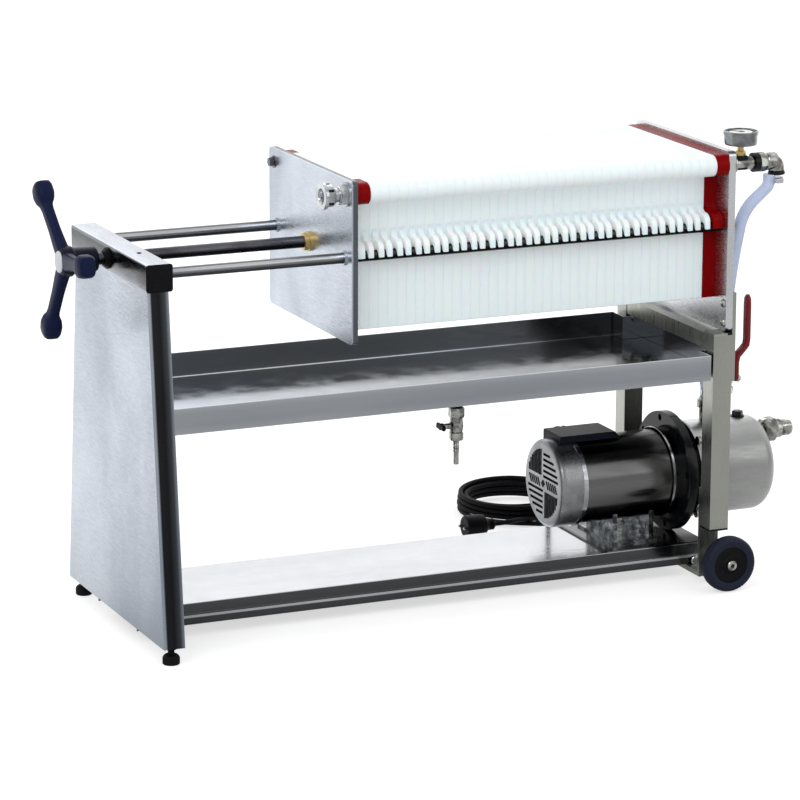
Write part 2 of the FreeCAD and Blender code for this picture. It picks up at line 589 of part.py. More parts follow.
def make_motor():
    """The motor: slotted fan cover, body, drilled flange, terminal box and foot."""
    axis = (0, "pump_z")
    cover = rod("motor_rad", "cover_long", (MOTOR_X, *axis), "x")
    soft = rounded(cover, size("cover_round"), rim_at(value(MOTOR_X)))
    room = rod("motor_rad - cover_wall", "cover_long - cover_round", (f"{MOTOR_X} + cover_round", *axis), "x")
    room_front = rod("motor_rad - cover_round", "cover_round", (f"{MOTOR_X} + cover_wall", *axis), "x")
    slots = made(grille_slots(value(MOTOR_X), size("cover_wall")))
    keep("fan_cover", cut(soft, fuse(room, room_front), slots))
    body_x = f"({MOTOR_X} + cover_long)"
    body = rod("motor_rad - cover_wall", "motor_long - cover_long", (body_x, *axis), "x")
    ring = rod("motor_rad + bead_rad", "end_ring", (f"{FLANGE_X} - ring_set", *axis), "x")
    keep("motor_body", fuse(body, ring))
    rim = rod("flange_rad", "flange_rim", (FLANGE_X, *axis), "x")
    back = rod("flange_rad - flange_hole_in - 2 * flange_hole", "flange_thk", (FLANGE_X, *axis), "x")
    holes = []
    reach = "(flange_rad - flange_hole_in)"
    for number in range(FLANGE_HOLES):
        turn = math.radians(360 / FLANGE_HOLES * number + size("hole_turn"))
        at = (FLANGE_X, f"{reach} * {math.sin(turn):.6f}", f"pump_z + {reach} * {math.cos(turn):.6f}")
        holes.append(rod("flange_hole", "flange_rim", at, "x"))
    keep("motor_flange", fuse(cut(rim, *holes), back))
    left, top = value(MOTOR_X) + size("box_set"), value("pump_z + motor_rad + box_rise")
    base, near = value("pump_z + motor_rad - box_skirt"), -size("box_near")
    right, slope = left + size("box_long"), size("box_slope")
    lid = prism([Vector(left, near, base), Vector(left, near, top), Vector(right - slope, near, top),
                 Vector(right, near, base)], Vector(0, size("box_near") + size("box_far"), 0))
    keep("terminal_box", cut(rounded(made(lid), size("cap_round"), runs_along("y")),
                             rod("motor_rad", "motor_long", (MOTOR_X, *axis), "x")))
    foot_x, sole_z = f"({MOTOR_X} + foot_set)", f"({SHELF_TOP} + stand_thk)"
    sole = box("foot_long", "2 * foot_half", "foot_sole", (foot_x, "-foot_half", sole_z))
    saddles = [box("foot_web", "foot_half * 1.5", f"pump_z - {sole_z}", (web_x, "-foot_half * 0.75", sole_z))
               for web_x in (f"{foot_x} + foot_web", f"{foot_x} + foot_long - 2 * foot_web")]
    cradle = rod("motor_rad - cover_wall", "motor_long", (MOTOR_X, *axis), "x")
    keep("motor_foot", cut(fuse(sole, *saddles), cradle))


def make_pump():
    """The pressed stainless pump body with its plug, suction union and outlet neck."""
    drum = rod("pump_rad", "pump_long", (PUMP_X, 0, "pump_z"), "x")
    soft = rounded(drum, size("pump_round"), rim_at(value(PUMP_END)))
    rim = rod("pump_rad + end_ring", "end_ring", (PUMP_X, 0, "pump_z"), "x")
    keep("pump_body", fuse(soft, rim))
    keep("priming_plug", hexagon("stub_rad", "stub_rad", (f"{PUMP_X} + plug_set", 0, "pump_z + pump_rad")))
    level = "pump_z + inlet_rise"
    reach = "0"
    pieces = []
    for kind, radius, long in ((rod, "inlet_rad", "union_neck"), (hexagon, "union_rad", "union_nut"),
                               (rod, "union_ring_rad", "union_ring"), (rod, "inlet_rad", "inlet_long")):
        pieces.append(kind(radius, long, (f"{PUMP_END} + {reach}", 0, level), "x"))
        reach = f"{reach} + {long}"
    keep("suction_union", fuse(*pieces))
    neck = rod("outlet_rad", "outlet_top - pump_z - pump_rad", (OUTLET_X, 0, "pump_z + pump_rad"))
    clamp = rod("clamp_rad", "clamp_high", (OUTLET_X, 0, "outlet_top - clamp_high - clamp_set"))
    keep("outlet_neck", fuse(neck, clamp))


def tube_along(points, radius, share=0.45):
    """A solid tube of straight runs joined by tangent arcs through the corners of a route."""
    route = [Vector(*p) for p in points]
    edges = []
    start = route[0]
    for before, corner, after in zip(route, route[1:], route[2:]):
        a, b = before - corner, after - corner
        turn = math.pi - a.getAngle(b)
        trim = share * min(a.Length, b.Length)
        bend = trim / math.tan(turn / 2)
        a.normalize()
        b.normalize()
        first, last = corner + a * trim, corner + b * trim
        to_centre = (a + b).normalize()
        centre = corner + to_centre * math.hypot(trim, bend)
        middle = centre - to_centre * bend
        edges.append(Part.makeLine(start, first))
        edges.append(Part.Arc(first, middle, last).toShape())
        start = last
    edges.append(Part.makeLine(start, route[-1]))
    path = Part.Wire(edges)
    ring = Part.Wire([Part.makeCircle(radius, route[0], route[1] - route[0])])
    tube = path.makePipeShell([ring], True, False)
    exact = math.pi * radius ** 2 * path.Length
    if abs(tube.Volume - exact) > 0.01 * exact:
        raise RuntimeError("a tube lost part of its path")
    return tube


def make_hoses():
    """The clear hoses: pump to the far eye, and near eye to the outlet valve."""
    out_x, feed_x, elbow_x, valve_x = (value(text) for text in (OUTLET_X, FEED_X, ELBOW_X, VALVE_X))
    eye_y, eye_z, top, rad = value(EYE_Y), size("eye_z"), size("outlet_top"), size("hose_rad")
    mouth = eye_z - size("mouth_drop")
    rise = mouth - top
    keep("delivery_hose", made(tube_along(
        [(out_x, 0, top), (out_x, 0, top + 0.07 * rise), (out_x - rad / 2, eye_y * 0.55, top + 0.16 * rise),
         (feed_x, eye_y * 0.95, top + 0.38 * rise), (feed_x, eye_y, top + 0.7 * rise),
         (feed_x, eye_y, mouth)], rad)))
    valve_y, seat = value(VALVE_Y), value("valve_z + valve_high / 2 + seat_high")
    fall = mouth - seat
    keep("outlet_hose", made(tube_along(
        [(elbow_x, -eye_y, mouth), (elbow_x, -eye_y, mouth - 0.06 * fall),
         (valve_x + 2 * rad, -eye_y + 2 * rad, mouth - 0.2 * fall),
         (valve_x + rad, valve_y - rad / 2, mouth - 0.45 * fall),
         (valve_x, valve_y, mouth - 0.75 * fall), (valve_x, valve_y, seat)], rad)))


def make_pipework():
    """The eye pipes behind the fixed plate, the gauge, and the outlet valve with its lever."""
    at = (f"-{EYE_Y}", "eye_z")
    body_x = f"({ELBOW_X} - elbow_back)"
    pieces = [rod("pipe_rad", "elbow_reach + elbow_end", (TAIL_BACK, *at), "x"),
              rod("ring_rad", "ring_long", (f"{body_x} - union_long - ring_long", *at), "x"),
              hexagon("union_hex", "union_long", (f"{body_x} - union_long", *at), "x"),
              rod("elbow_rad", "elbow_long", (body_x, *at), "x"),
              rod("mouth_rad", "mouth_drop", (ELBOW_X, f"-{EYE_Y}", "eye_z - mouth_drop")),
              rod("stem_rad", "gauge_z - gauge_thk / 2 - eye_z", (GAUGE_X, *at))]
    keep("gauge_pipe", fuse(*pieces))
    case = rod("gauge_rad", "gauge_thk", (GAUGE_X, f"-{EYE_Y}", "gauge_z - gauge_thk / 2"))
    dial = rod("gauge_rad - dial_deep", "dial_deep",
               (GAUGE_X, f"-{EYE_Y}", "gauge_z + gauge_thk / 2 - dial_deep"))
    keep("gauge", cut(case, dial))
    feed = rod("pipe_rad", "feed_reach + mouth_rad / 2", (TAIL_BACK, EYE_Y, "eye_z"), "x")
    down = rod("mouth_rad", "mouth_drop + mouth_rad", (FEED_X, EYE_Y, "eye_z - mouth_drop"))
    keep("inlet_elbow", fuse(feed, down))
    stand = (VALVE_X, VALVE_Y)
    low = "(valve_z - valve_high / 2)"
    body = rod("valve_rad * 0.9", "valve_high", (*stand, low))
    nuts = [hexagon("valve_rad", "valve_high / 4", (*stand, level))
            for level in (low, f"{low} + valve_high * 3 / 4")]
    upper = rod("spout_rad", "seat_high", (*stand, "valve_z + valve_high / 2"))
    spout = rod("spout_rad", "spout_long", (*stand, f"{low} - spout_long"))
    stem = rod("barb_rad", "valve_rad", (*stand, "valve_z"), "x")
    keep("outlet_valve", fuse(body, *nuts, upper, spout, stem))
    x, y = value(LEVER_X), value(f"{VALVE_Y} - lever_wide / 2")
    wide, thk, step, long = size("lever_wide"), size("lever_thk"), size("lever_step"), size("lever_long")
    low_z = value("valve_z - lever_wide / 2")
    knee, hip = low_z + 0.24 * long, low_z + 0.42 * long
    side = prism([Vector(x, y, low_z), Vector(x, y, knee), Vector(x + step, y, hip),
                  Vector(x + step, y, low_z + long), Vector(x + step + thk, y, low_z + long),
                  Vector(x + step + thk, y, hip - thk / 3), Vector(x + thk, y, knee - thk / 3),
                  Vector(x + thk, y, low_z)], Vector(0, wide, 0))
    keep("valve_lever", rounded(made(side), wide * 0.45, runs_along("x")))


def make_cord():
    """The mains cord's gland, its free run, the coil on the floor and the plug."""
    gland = CORD_ROUTE[0]
    keep("cord_gland", rod("stub_rad", f"{gland[1]} - box_far", (gland[0], "box_far", gland[2]), "y"))
    keep("cord_tube", made(tube_along(CORD_ROUTE, CORD_RAD)))
    ring = Part.makeCylinder(COIL_OUTER, COIL_HIGH, Vector(*COIL_MIDDLE))
    keep("cord_coil", made(ring.cut(Part.makeCylinder(COIL_INNER, COIL_HIGH, Vector(*COIL_MIDDLE)))))
    keep("cord_tail", made(tube_along(PLUG_ROUTE, CORD_RAD)))
    keep("cord_plug", made(Part.makeCylinder(PLUG_RAD, PLUG_LONG, Vector(*PLUG_START), Vector(1, 0, 0))))


for make in (make_end_panel, make_beam, make_feet, make_screw, make_head, make_bleed_fitting, make_rods,
             make_pack, make_tail, make_legs, make_tray, make_tap, make_shelf, make_wheels, make_motor,
             make_pump, make_hoses, make_pipework, make_cord):
    make()
doc.recompute()
for item in doc.Objects:
    if {"Invalid", "Error"} & set(item.State):
        raise RuntimeError(f"{item.Label} failed: {item.State}")
for item in SUB_PARTS:
    if item.Shape.isNull() or not item.Shape.isValid() or not item.Shape.Solids:
        raise RuntimeError(f"{item.Label} has no valid solid")
os.makedirs("parts", exist_ok=True)
for item in SUB_PARTS:
    item.Shape.exportStep(os.path.join("parts", item.Label + ".step"))
print(len(SUB_PARTS), "sub-parts written")
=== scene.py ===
"""Looks of a wheeled plate filter press: finishes on its solids, and the finer pieces around them."""
import math

import bpy
import numpy as np
from mathutils import Matrix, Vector
from bpy.props import FloatProperty, FloatVectorProperty, IntProperty, PointerProperty


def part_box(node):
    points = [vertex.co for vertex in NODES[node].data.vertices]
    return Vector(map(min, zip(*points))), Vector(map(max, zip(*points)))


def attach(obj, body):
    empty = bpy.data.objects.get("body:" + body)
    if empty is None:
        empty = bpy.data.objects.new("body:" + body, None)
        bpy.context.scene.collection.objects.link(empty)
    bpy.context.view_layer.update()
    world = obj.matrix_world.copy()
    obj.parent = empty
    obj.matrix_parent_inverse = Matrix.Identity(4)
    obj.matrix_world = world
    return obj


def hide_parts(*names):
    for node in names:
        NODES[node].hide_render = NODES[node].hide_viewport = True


bl_info = {"name": "Plate filter press", "version": (1, 0, 0), "blender": (4, 5, 0),
    "location": "View3D > Sidebar > Filter press",
    "description": "Dresses a plate filter press with finishes, fittings, fasteners and its mains cord",
    "category": "Object",}

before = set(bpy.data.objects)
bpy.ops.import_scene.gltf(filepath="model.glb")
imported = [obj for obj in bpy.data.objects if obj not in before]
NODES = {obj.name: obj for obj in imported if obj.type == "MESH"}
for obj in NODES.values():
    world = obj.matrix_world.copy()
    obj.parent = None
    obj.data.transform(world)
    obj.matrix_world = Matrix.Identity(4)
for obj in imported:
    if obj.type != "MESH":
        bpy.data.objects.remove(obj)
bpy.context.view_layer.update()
MM = 0.001  # shapes are worked out in millimetres; make_piece turns them into metres


def low(node):
    """The lowest corner of a solid, in millimetres."""
    return np.array(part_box(node)[0]) / MM


def high(node):
    """The highest corner of a solid, in millimetres."""
    return np.array(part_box(node)[1]) / MM


def mid(node):
    """The middle of a solid's box, in millimetres."""
    return (low(node) + high(node)) / 2


# ---- shapes
THINNEST = 0.01  # the radius that stands for a point on the axis
AXES = {"+x": (1, 0, 0), "-x": (-1, 0, 0), "+y": (0, 1, 0), "-y": (0, -1, 0), "+z": (0, 0, 1),
    "-z": (0, 0, -1)}


def across(way):
    """Two unit directions square to an axis, whose cross product is the axis."""
    way = np.asarray(way, float) / np.linalg.norm(way)
    help_dir = np.array([0, 0, 1.0]) if abs(way[2]) < 0.9 else np.array([1.0, 0, 0])
    first = np.cross(help_dir, way)
    first /= np.linalg.norm(first)
    return first, np.cross(way, first)


def skin(points, capped=True):
    """Vertices and faces of a grid of points whose rows close on themselves.

    Each face joins a point, its neighbour on the row, and the same two on the next row. A flat
    cap closes the first and the last row.
    """
    rows, cols = points.shape[:2]
    i = np.arange(rows - 1)[:, None] * cols
    j = np.arange(cols)[None, :]
    k = (j + 1) % cols
    faces = np.stack([i + j, i + k, i + cols + k, i + cols + j], -1).reshape(-1, 4).tolist()
    if capped:
        faces.append(list(range(cols))[::-1])
        faces.append(list(range((rows - 1) * cols, rows * cols)))
    return points.reshape(-1, 3), faces


def turned(profile, at, way="+z", turns=48, start=0.0):
    """A turned piece: the point at step s and angle a is the start, plus the way times the
    profile's distance at s, plus the profile's radius at s round the way by the angle a."""
    steps = np.array(profile, float)
    way = np.array(AXES[way] if isinstance(way, str) else way, float)
    first, second = across(way)
    angle = np.linspace(0, 2 * math.pi, turns, endpoint=False) + start
    round_dir = np.cos(angle)[:, None] * first + np.sin(angle)[:, None] * second
    points = (np.array(at, float) + steps[:, 0, None, None] * way + np.maximum(steps[:, 1], THINNEST)[:, None,
        None] * round_dir)
    return skin(points)


def carried(outline, path, widths=None, up=(0, 0, 1)):
    """A profile carried along a path: the point is the path's point, plus the outline's first
    number along the side direction and its second along the up direction, times the width there."""
    path = np.array(path, float)
    outline = np.array(outline, float)
    along = np.gradient(path, axis=0)
    along /= np.linalg.norm(along, axis=1)[:, None]
    side = np.cross(np.array(up, float), along)
    side /= np.linalg.norm(side, axis=1)[:, None]
    top = np.cross(along, side)
    widths = np.ones((len(path), 2)) if widths is None else np.array(widths, float)
    points = (path[:, None] + outline[None, :, 0, None] * widths[:, 0, None, None] * side[:, None]
        + outline[None, :, 1, None] * widths[:, 1, None, None] * top[:, None])
    return skin(points)


def standing(first, second, third, at):
    """The matrix of three directions and a place."""
    return Matrix([[*row] for row in np.column_stack([first, second, third, at])] + [[0, 0, 0, 1]])


def soft_square(wide, tall, soft, steps=5):
    """The outline of a rectangle with round corners: each corner is a quarter turn of radius
    soft about a point that far inside it."""
    angle = np.linspace(0, math.pi / 2, steps)
    turn = (np.arange(4) * math.pi / 2)[:, None] + angle
    sign = np.array([[1, 1], [-1, 1], [-1, -1], [1, -1]])[:, None, :]
    middle = sign * (np.array([wide, tall]) / 2 - soft)
    return (middle + soft * np.stack([np.cos(turn), np.sin(turn)], -1)).reshape(-1, 2)


def bar(lowest, highest, way, soft, ease=0.0):
    """A straight bar between two corners: a soft rectangle carried along one axis, drawn in by
    ease at both ends."""
    lowest, highest = np.array(lowest, float), np.array(highest, float)
    axis = "xyz".index(way)
    others = [(axis + 1) % 3, (axis + 2) % 3]
    size = highest - lowest
    centre = (lowest + highest) / 2
    outline = soft_square(size[others[0]], size[others[1]], soft)
    places = np.array([lowest[axis], lowest[axis] + ease, highest[axis] - ease, highest[axis]])
    shrink = 1 - 2 * ease / size[others]
    scale = np.array([shrink, [1, 1], [1, 1], shrink])
    points = np.zeros((4, len(outline), 3))
    points[:, :, axis] = places[:, None]
    points[:, :, others[0]] = centre[others[0]] + outline[:, 0] * scale[:, 0, None]
    points[:, :, others[1]] = centre[others[1]] + outline[:, 1] * scale[:, 1, None]
    return skin(points)


def flat_plate(outline, start, end, ease, way="x"):
    """A flat plate: an outline in the plane square to an axis, drawn in by ease at both faces
    along the mean of its neighbouring sides' outward directions."""
    ring = np.array(outline, float)
    step = np.roll(ring, -1, 0) - ring
    out = np.stack([step[:, 1], -step[:, 0]], -1)
    out /= np.maximum(np.linalg.norm(out, axis=1), 1e-9)[:, None]
    out = out + np.roll(out, 1, 0)
    out /= np.maximum(np.linalg.norm(out, axis=1), 1e-9)[:, None]
    axis = "xyz".index(way)
    first, second = (axis + 1) % 3, (axis + 2) % 3
    points = np.zeros((4, len(ring), 3))
    points[:, :, axis] = np.array([start, start + ease, end - ease, end])[:, None]
    inset = np.array([ease, 0.0, 0.0, ease])[:, None, None]
    points[:, :, [first, second]] = ring[None] - inset * out[None]
    return skin(points)


def tube(path, radius, turns=24, grow=None):
    """A round tube along a path: a circle of that radius carried along it."""
    angle = np.linspace(0, 2 * math.pi, turns, endpoint=False)
    circle = np.stack([np.cos(angle), np.sin(angle)], -1) * radius
    return carried(circle, path, grow, (0, 1, 0))


def bend(start, corner, end, radius, steps=8):
    """A path from a start to an end by a corner, with a quarter turn of that radius at it."""
    start, corner, end = (np.array(p, float) for p in (start, corner, end))
    back = (start - corner) / np.linalg.norm(start - corner)
    on = (end - corner) / np.linalg.norm(end - corner)
    angle = np.linspace(0, math.pi / 2, steps)
    turn = corner + radius * ((1 - np.sin(angle))[:, None] * back + (1 - np.cos(angle))[:, None] * on)
    return np.concatenate([[start], turn, [end]])


def ringed(start, end, radius, depth, count):
    """A profile of rounded ridges between two distances: the radius falls by depth between each
    two of count crests."""
    steps = np.linspace(0, count, count * 4 + 1)
    return [(start + (end - start) * s / count, radius - depth * (0.5 + 0.5 * math.cos(2 * math.pi * s)))
        for s in steps]


def hex_head(across_flats, tall, at, way, start=0.0):
    """A hexagon with its upper corners turned off."""
    radius = across_flats / math.sqrt(3)
    return turned([(0, radius), (tall * 0.82, radius), (tall, radius * 0.88)], at, way, 6, start)


def domed(radius, tall, at, way):
    """A domed head: the radius follows a quarter ellipse up to the crown."""
    angle = np.linspace(0, math.pi / 2, 8)
    steps = [(0, radius * 0.97)] + [(tall * math.sin(a), radius * math.cos(a)) for a in angle]
    return turned(steps, at, way, 24)


def make_piece(name, parts, finish, body, instead_of=(), sharp=32):
    """One object of several closed surfaces, with its material, body and material slot."""
    vertices, faces, count = [], [], 0
    for points, quads in parts:
        vertices.append(points)
        faces += [[n + count for n in face] for face in quads]
        count += len(points)
    mesh = bpy.data.meshes.new(name)
    mesh.from_pydata((np.concatenate(vertices) * MM).tolist(), [], faces)
    mesh.update()
    mesh.shade_smooth()
    mesh.set_sharp_from_angle(angle=math.radians(sharp))
    mesh.materials.append(bpy.data.materials[finish])
    item = bpy.data.objects.new(name, mesh)
    bpy.context.scene.collection.objects.link(item)
    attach(item, body)
    if instead_of:
        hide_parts(*instead_of)
    return item


# ---- material helpers
def link(tree, item, key, value):
    """Sets a node's input to a number or colour, or joins it to another node's output."""
    if isinstance(value, bpy.types.NodeSocket):
        tree.links.new(value, item.inputs[key])
    elif value is not None:
        current = item.inputs[key].default_value
        if hasattr(current, "__len__") and hasattr(value, "__len__") and len(value) < len(current):
            value = (*value, 1.0)
        item.inputs[key].default_value = value


def add(tree, kind, inputs=None, **settings):
    """A node with its settings and inputs."""
    item = tree.nodes.new(kind)
    for key, value in settings.items():
        setattr(item, key, value)
    for key, value in (inputs or {}).items():
        link(tree, item, key, value)
    return item


def maths(tree, operation, first, second=0.0, third=None):
    """The result of a Math node."""
    item = add(tree, "ShaderNodeMath", {0: first, 1: second}, operation=operation)
    if third is not None:
        link(tree, item, 2, third)
    return item.outputs[0]


def mixed(tree, factor, first, second):
    """A colour between two, by a factor."""
    item = add(tree, "ShaderNodeMix", data_type="RGBA")
    link(tree, item, "Factor", factor)
    link(tree, item, 6, first)
    link(tree, item, 7, second)
    return item.outputs[2]


def between(tree, value, start, end, low_out=0.0, high_out=1.0):
    """A value carried smoothly from one range to another."""
    item = add(tree, "ShaderNodeMapRange", {"Value": value, "From Min": start, "From Max": end,
        "To Min": low_out, "To Max": high_out}, interpolation_type="SMOOTHSTEP")
    return item.outputs["Result"]


def group_tree(name, ins, outs):
    """An empty node group with named inputs and outputs."""
    tree = bpy.data.node_groups.new(name, "ShaderNodeTree")
    for key, kind, default in ins:
        socket = tree.interface.new_socket(key, in_out="INPUT", socket_type=kind)
        socket.default_value = default
    for key, kind in outs:
        tree.interface.new_socket(key, in_out="OUTPUT", socket_type=kind)
    return tree, tree.nodes.new("NodeGroupInput"), tree.nodes.new("NodeGroupOutput")


def clouds_group():
    """Soft cloudy patches, partly polish marks and partly painted reflection, and a fine drawn grain over the
    piece's own coordinates.
    """
    tree, entry, out = group_tree("cloudy polish and reflection", [("Scale", "NodeSocketVector", (4.0, 4.0, 4.0)),
        ("Grain", "NodeSocketVector", (40.0, 40.0, 900.0)), ("Spread", "NodeSocketFloat", 0.25)],
        [("Patches", "NodeSocketFloat"), ("Grain", "NodeSocketFloat")])
    place = tree.nodes.new("ShaderNodeTexCoord").outputs["Object"]
    big = add(tree, "ShaderNodeVectorMath", {0: place, 1: entry.outputs["Scale"]}, operation="MULTIPLY")
    patches = add(tree, "ShaderNodeTexNoise", {"Vector": big.outputs[0], "Scale": 1.0, "Detail": 3.0,
        "Roughness": 0.55, "Distortion": 0.6})
    start = maths(tree, "SUBTRACT", 0.5, entry.outputs["Spread"])
    end = maths(tree, "ADD", 0.5, entry.outputs["Spread"])
    tree.links.new(between(tree, patches.outputs["Fac"], start, end), out.inputs["Patches"])
    fine = add(tree, "ShaderNodeVectorMath", {0: place, 1: entry.outputs["Grain"]}, operation="MULTIPLY")
    grain = add(tree, "ShaderNodeTexNoise", {"Vector": fine.outputs[0], "Scale": 1.0, "Detail": 2.0})
    tree.links.new(grain.outputs["Fac"], out.inputs["Grain"])
    return tree


def speckle_group():
    """Small dots and smudges: dust and handling marks."""
    tree, entry, out = group_tree("fine speckle", [("Scale", "NodeSocketFloat", 300.0),
        ("Amount", "NodeSocketFloat", 0.3)], [("Mask", "NodeSocketFloat"), ("Height", "NodeSocketFloat")])
    place = tree.nodes.new("ShaderNodeTexCoord").outputs["Object"]
    dots = add(tree, "ShaderNodeTexNoise", {"Vector": place, "Scale": entry.outputs["Scale"], "Detail": 3.0})
    smudge = add(tree, "ShaderNodeTexNoise", {"Vector": place, "Scale": 14.0, "Detail": 3.0})
    both = maths(tree, "MULTIPLY", between(tree, dots.outputs["Fac"], 0.45, 0.75),
        between(tree, smudge.outputs["Fac"], 0.35, 0.7))
    tree.links.new(maths(tree, "MULTIPLY", both, entry.outputs["Amount"]), out.inputs["Mask"])
    tree.links.new(dots.outputs["Fac"], out.inputs["Height"])
    return tree


def place_group():
    """The piece's own coordinates along X, Y and Z."""
    tree, _, out = group_tree("own place", [], [("X", "NodeSocketFloat"), ("Y", "NodeSocketFloat"),
        ("Z", "NodeSocketFloat")])
    place = tree.nodes.new("ShaderNodeTexCoord").outputs["Object"]
    parts = add(tree, "ShaderNodeSeparateXYZ", {0: place})
    for key in "XYZ":
        tree.links.new(parts.outputs[key], out.inputs[key])
    return tree


def use(tree, name, **inputs):
    """A node group placed in a material, with its own values."""
    item = tree.nodes.new("ShaderNodeGroup")
    item.node_tree = bpy.data.node_groups[name]
    for key, value in inputs.items():
        link(tree, item, key, value)
    return item.outputs


def new_material(name, **shader):
    """A material with one Principled shader and its plain values."""
    material = bpy.data.materials.new(name)
    material.use_nodes = True
    tree = material.node_tree
    surface = tree.nodes["Principled BSDF"]
    for key, value in shader.items():
        link(tree, surface, key.replace("_", " "), value)
    return tree, surface


def steel(name, light, dark, scale=(5, 5, 2.5), grain=(60, 60, 900), rough=(0.2, 0.38), spread=0.22,
        painted_light=None, bump=0.04, streak=0.22):
    """Stainless steel: cloudy patches between two greys, a drawn grain in its gloss and height.

    The optional function argument takes the tree and the colour, and gives the colour with painted
    highlights, painted reflections and painted shade over the piece."""
    tree, surface = new_material(name, Metallic=1.0)
    marks = use(tree, "cloudy polish and reflection", Scale=scale, Grain=grain, Spread=spread)
    colour = mixed(tree, marks["Patches"], dark, light)
    colour = mixed(tree, maths(tree, "MULTIPLY", marks["Grain"], streak), colour,
        tuple(0.72 * c for c in dark))
    if painted_light:
        colour = painted_light(tree, colour)
    link(tree, surface, "Base Color", colour)
    link(tree, surface, "Roughness", between(tree, marks["Grain"], 0.25, 0.75, *rough))
    height = add(tree, "ShaderNodeBump", {"Strength": bump, "Distance": 0.0004, "Height": marks["Grain"]})
    link(tree, surface, "Normal", height.outputs[0])
    return tree


def plastic(name, colour, other, rough=0.4, speckle=250.0, bump=0.1, **shader):
    """Moulded plastic, paint or rubber: fine speckle in colour and height."""
    tree, surface = new_material(name, **shader)
    marks = use(tree, "fine speckle", Scale=speckle, Amount=0.6)
    link(tree, surface, "Base Color", mixed(tree, marks["Mask"], colour, other))
    link(tree, surface, "Roughness", between(tree, marks["Height"], 0.3, 0.7, rough * 0.85, rough * 1.15))
    height = add(tree, "ShaderNodeBump", {"Strength": bump, "Distance": 0.0003, "Height": marks["Height"]})
    link(tree, surface, "Normal", height.outputs[0])
    return tree


def tinted(tree, colour, share, stops):
    """The colour times a tone that follows a share from 0 to 1 through the stops."""
    item = tree.nodes.new("ShaderNodeValToRGB")
    tree.links.new(share, item.inputs[0])
    ramp = item.color_ramp
    while len(ramp.elements) < len(stops):
        ramp.elements.new(0.5)
    for element, (at, tone) in zip(ramp.elements, stops):
        element.position = at
        element.color = (tone, tone, tone, 1) if np.isscalar(tone) else (*tone, 1)
    product = add(tree, "ShaderNodeMix", {"Factor": 1.0, 6: colour, 7: item.outputs[0]}, data_type="RGBA",
        blend_type="MULTIPLY")
    return product.outputs[2]


def by_axis(axis, start, stops):
    """Painted light and shade along one of the piece's coordinates: the stops lie at millimetres from the
    start.
    """
    first, last = stops[0][0], stops[-1][0]

    def painted_light(tree, colour):
        share = add(tree, "ShaderNodeMapRange", {"Value": use(tree, "own place")[axis],
            "From Min": (start + first) * MM, "From Max": (start + last) * MM})
        return tinted(tree, colour, share.outputs[0], [((at - first) / (last - first), tone)
            for at, tone in stops])
    return painted_light


def by_turn(centre, stops):
    """Painted reflection bands and shade round a line along X: the tone follows the angle about the centre,
    from 0 below, through one half at the top, back to 1 below."""
    def painted_light(tree, colour):
        own = use(tree, "own place")
        side = maths(tree, "SUBTRACT", own["Y"], centre[1] * MM)
        rise = maths(tree, "SUBTRACT", own["Z"], centre[2] * MM)
        angle = maths(tree, "ARCTAN2", side, maths(tree, "MULTIPLY", rise, -1.0))
        share = maths(tree, "ADD", maths(tree, "DIVIDE", angle, 2 * math.pi), 1.0)
        return tinted(tree, colour, maths(tree, "FRACT", share), stops)
    return painted_light


def plug_finish(tail_x, floor_z):
    """The legs' end plugs: bare steel on top under the fixed plate's front, black elsewhere."""
    tree, surface = new_material("leg plug", Roughness=0.36, Specular_IOR_Level=0.15)
    marks = use(tree, "fine speckle", Scale=300.0, Amount=0.5)
    own = use(tree, "own place")
    steel_part = maths(tree, "MULTIPLY", maths(tree, "LESS_THAN", own["X"], tail_x * MM),
        maths(tree, "GREATER_THAN", own["Z"], floor_z * MM))
    black = mixed(tree, marks["Mask"], (0.004, 0.004, 0.005), (0.02, 0.02, 0.02))
    bare = mixed(tree, marks["Mask"], (0.44, 0.45, 0.41), (0.30, 0.31, 0.29))
    link(tree, surface, "Base Color", mixed(tree, steel_part, black, bare))
    link(tree, surface, "Metallic", steel_part)


def tray_painted_light(tree, colour):
    """Painted light and shade on the tray: the floor is darker towards the pump and has a painted highlight
    along its front and rear edges; the rear wall has a painted dark band and the walls a painted highlight
    along the top edge.
    """
    tray = low("drip_tray")
    long, deep = (high("drip_tray") - tray)[:2]
    floor = by_axis("X", tray[0], [(0, (1.5, 1.62, 1.8)), (300, 1.2), (600, 0.75), (long - 100, 0.32),
        (long, 0.25)])(tree, colour)
    floor = by_axis("Y", tray[1], [(0, 2.6), (18, 2.2), (34, 1.0), (deep - 12, 1.0), (deep - 5, 2.0),
        (deep, 2.0)])(tree, floor)
    walls = by_axis("Y", tray[1], [(0, 1.0), (deep - 10, 1.0), (deep - 3.5, 0.3), (deep - 0.8, 0.3),
        (deep, 1.0)])(tree, colour)
    walls = by_axis("Z", tray[2], [(0, 0.95), (12, 0.8), (30, 0.85), (38, 1.0), (39.5, 1.9)])(tree, walls)
    own = use(tree, "own place")
    is_floor = maths(tree, "LESS_THAN", own["Z"], (tray[2] + 2.2) * MM)
    inside = maths(tree, "GREATER_THAN", own["Y"], (tray[1] + 0.8) * MM)
    return mixed(tree, maths(tree, "MULTIPLY", is_floor, inside), walls, floor)


def rod_painted_light(tree, colour):
    """A painted highlight along the rod's upper side, painted shade below it, and painted shade where the
    lugs hang over it.
    """
    tone = by_axis("Z", mid("guide_rod_near")[2], [(-8, 0.08), (-2, 0.10), (1.5, 0.45), (3, 1.0), (5.5, 1.0),
        (6.8, 0.2), (8, 0.12)])
    lugs = by_axis("X", low("end_plate_head")[0], [(-300, 1.0), (-1, 1.0), (0, 0.10), (600, 0.10)])
    return lugs(tree, tone(tree, colour))
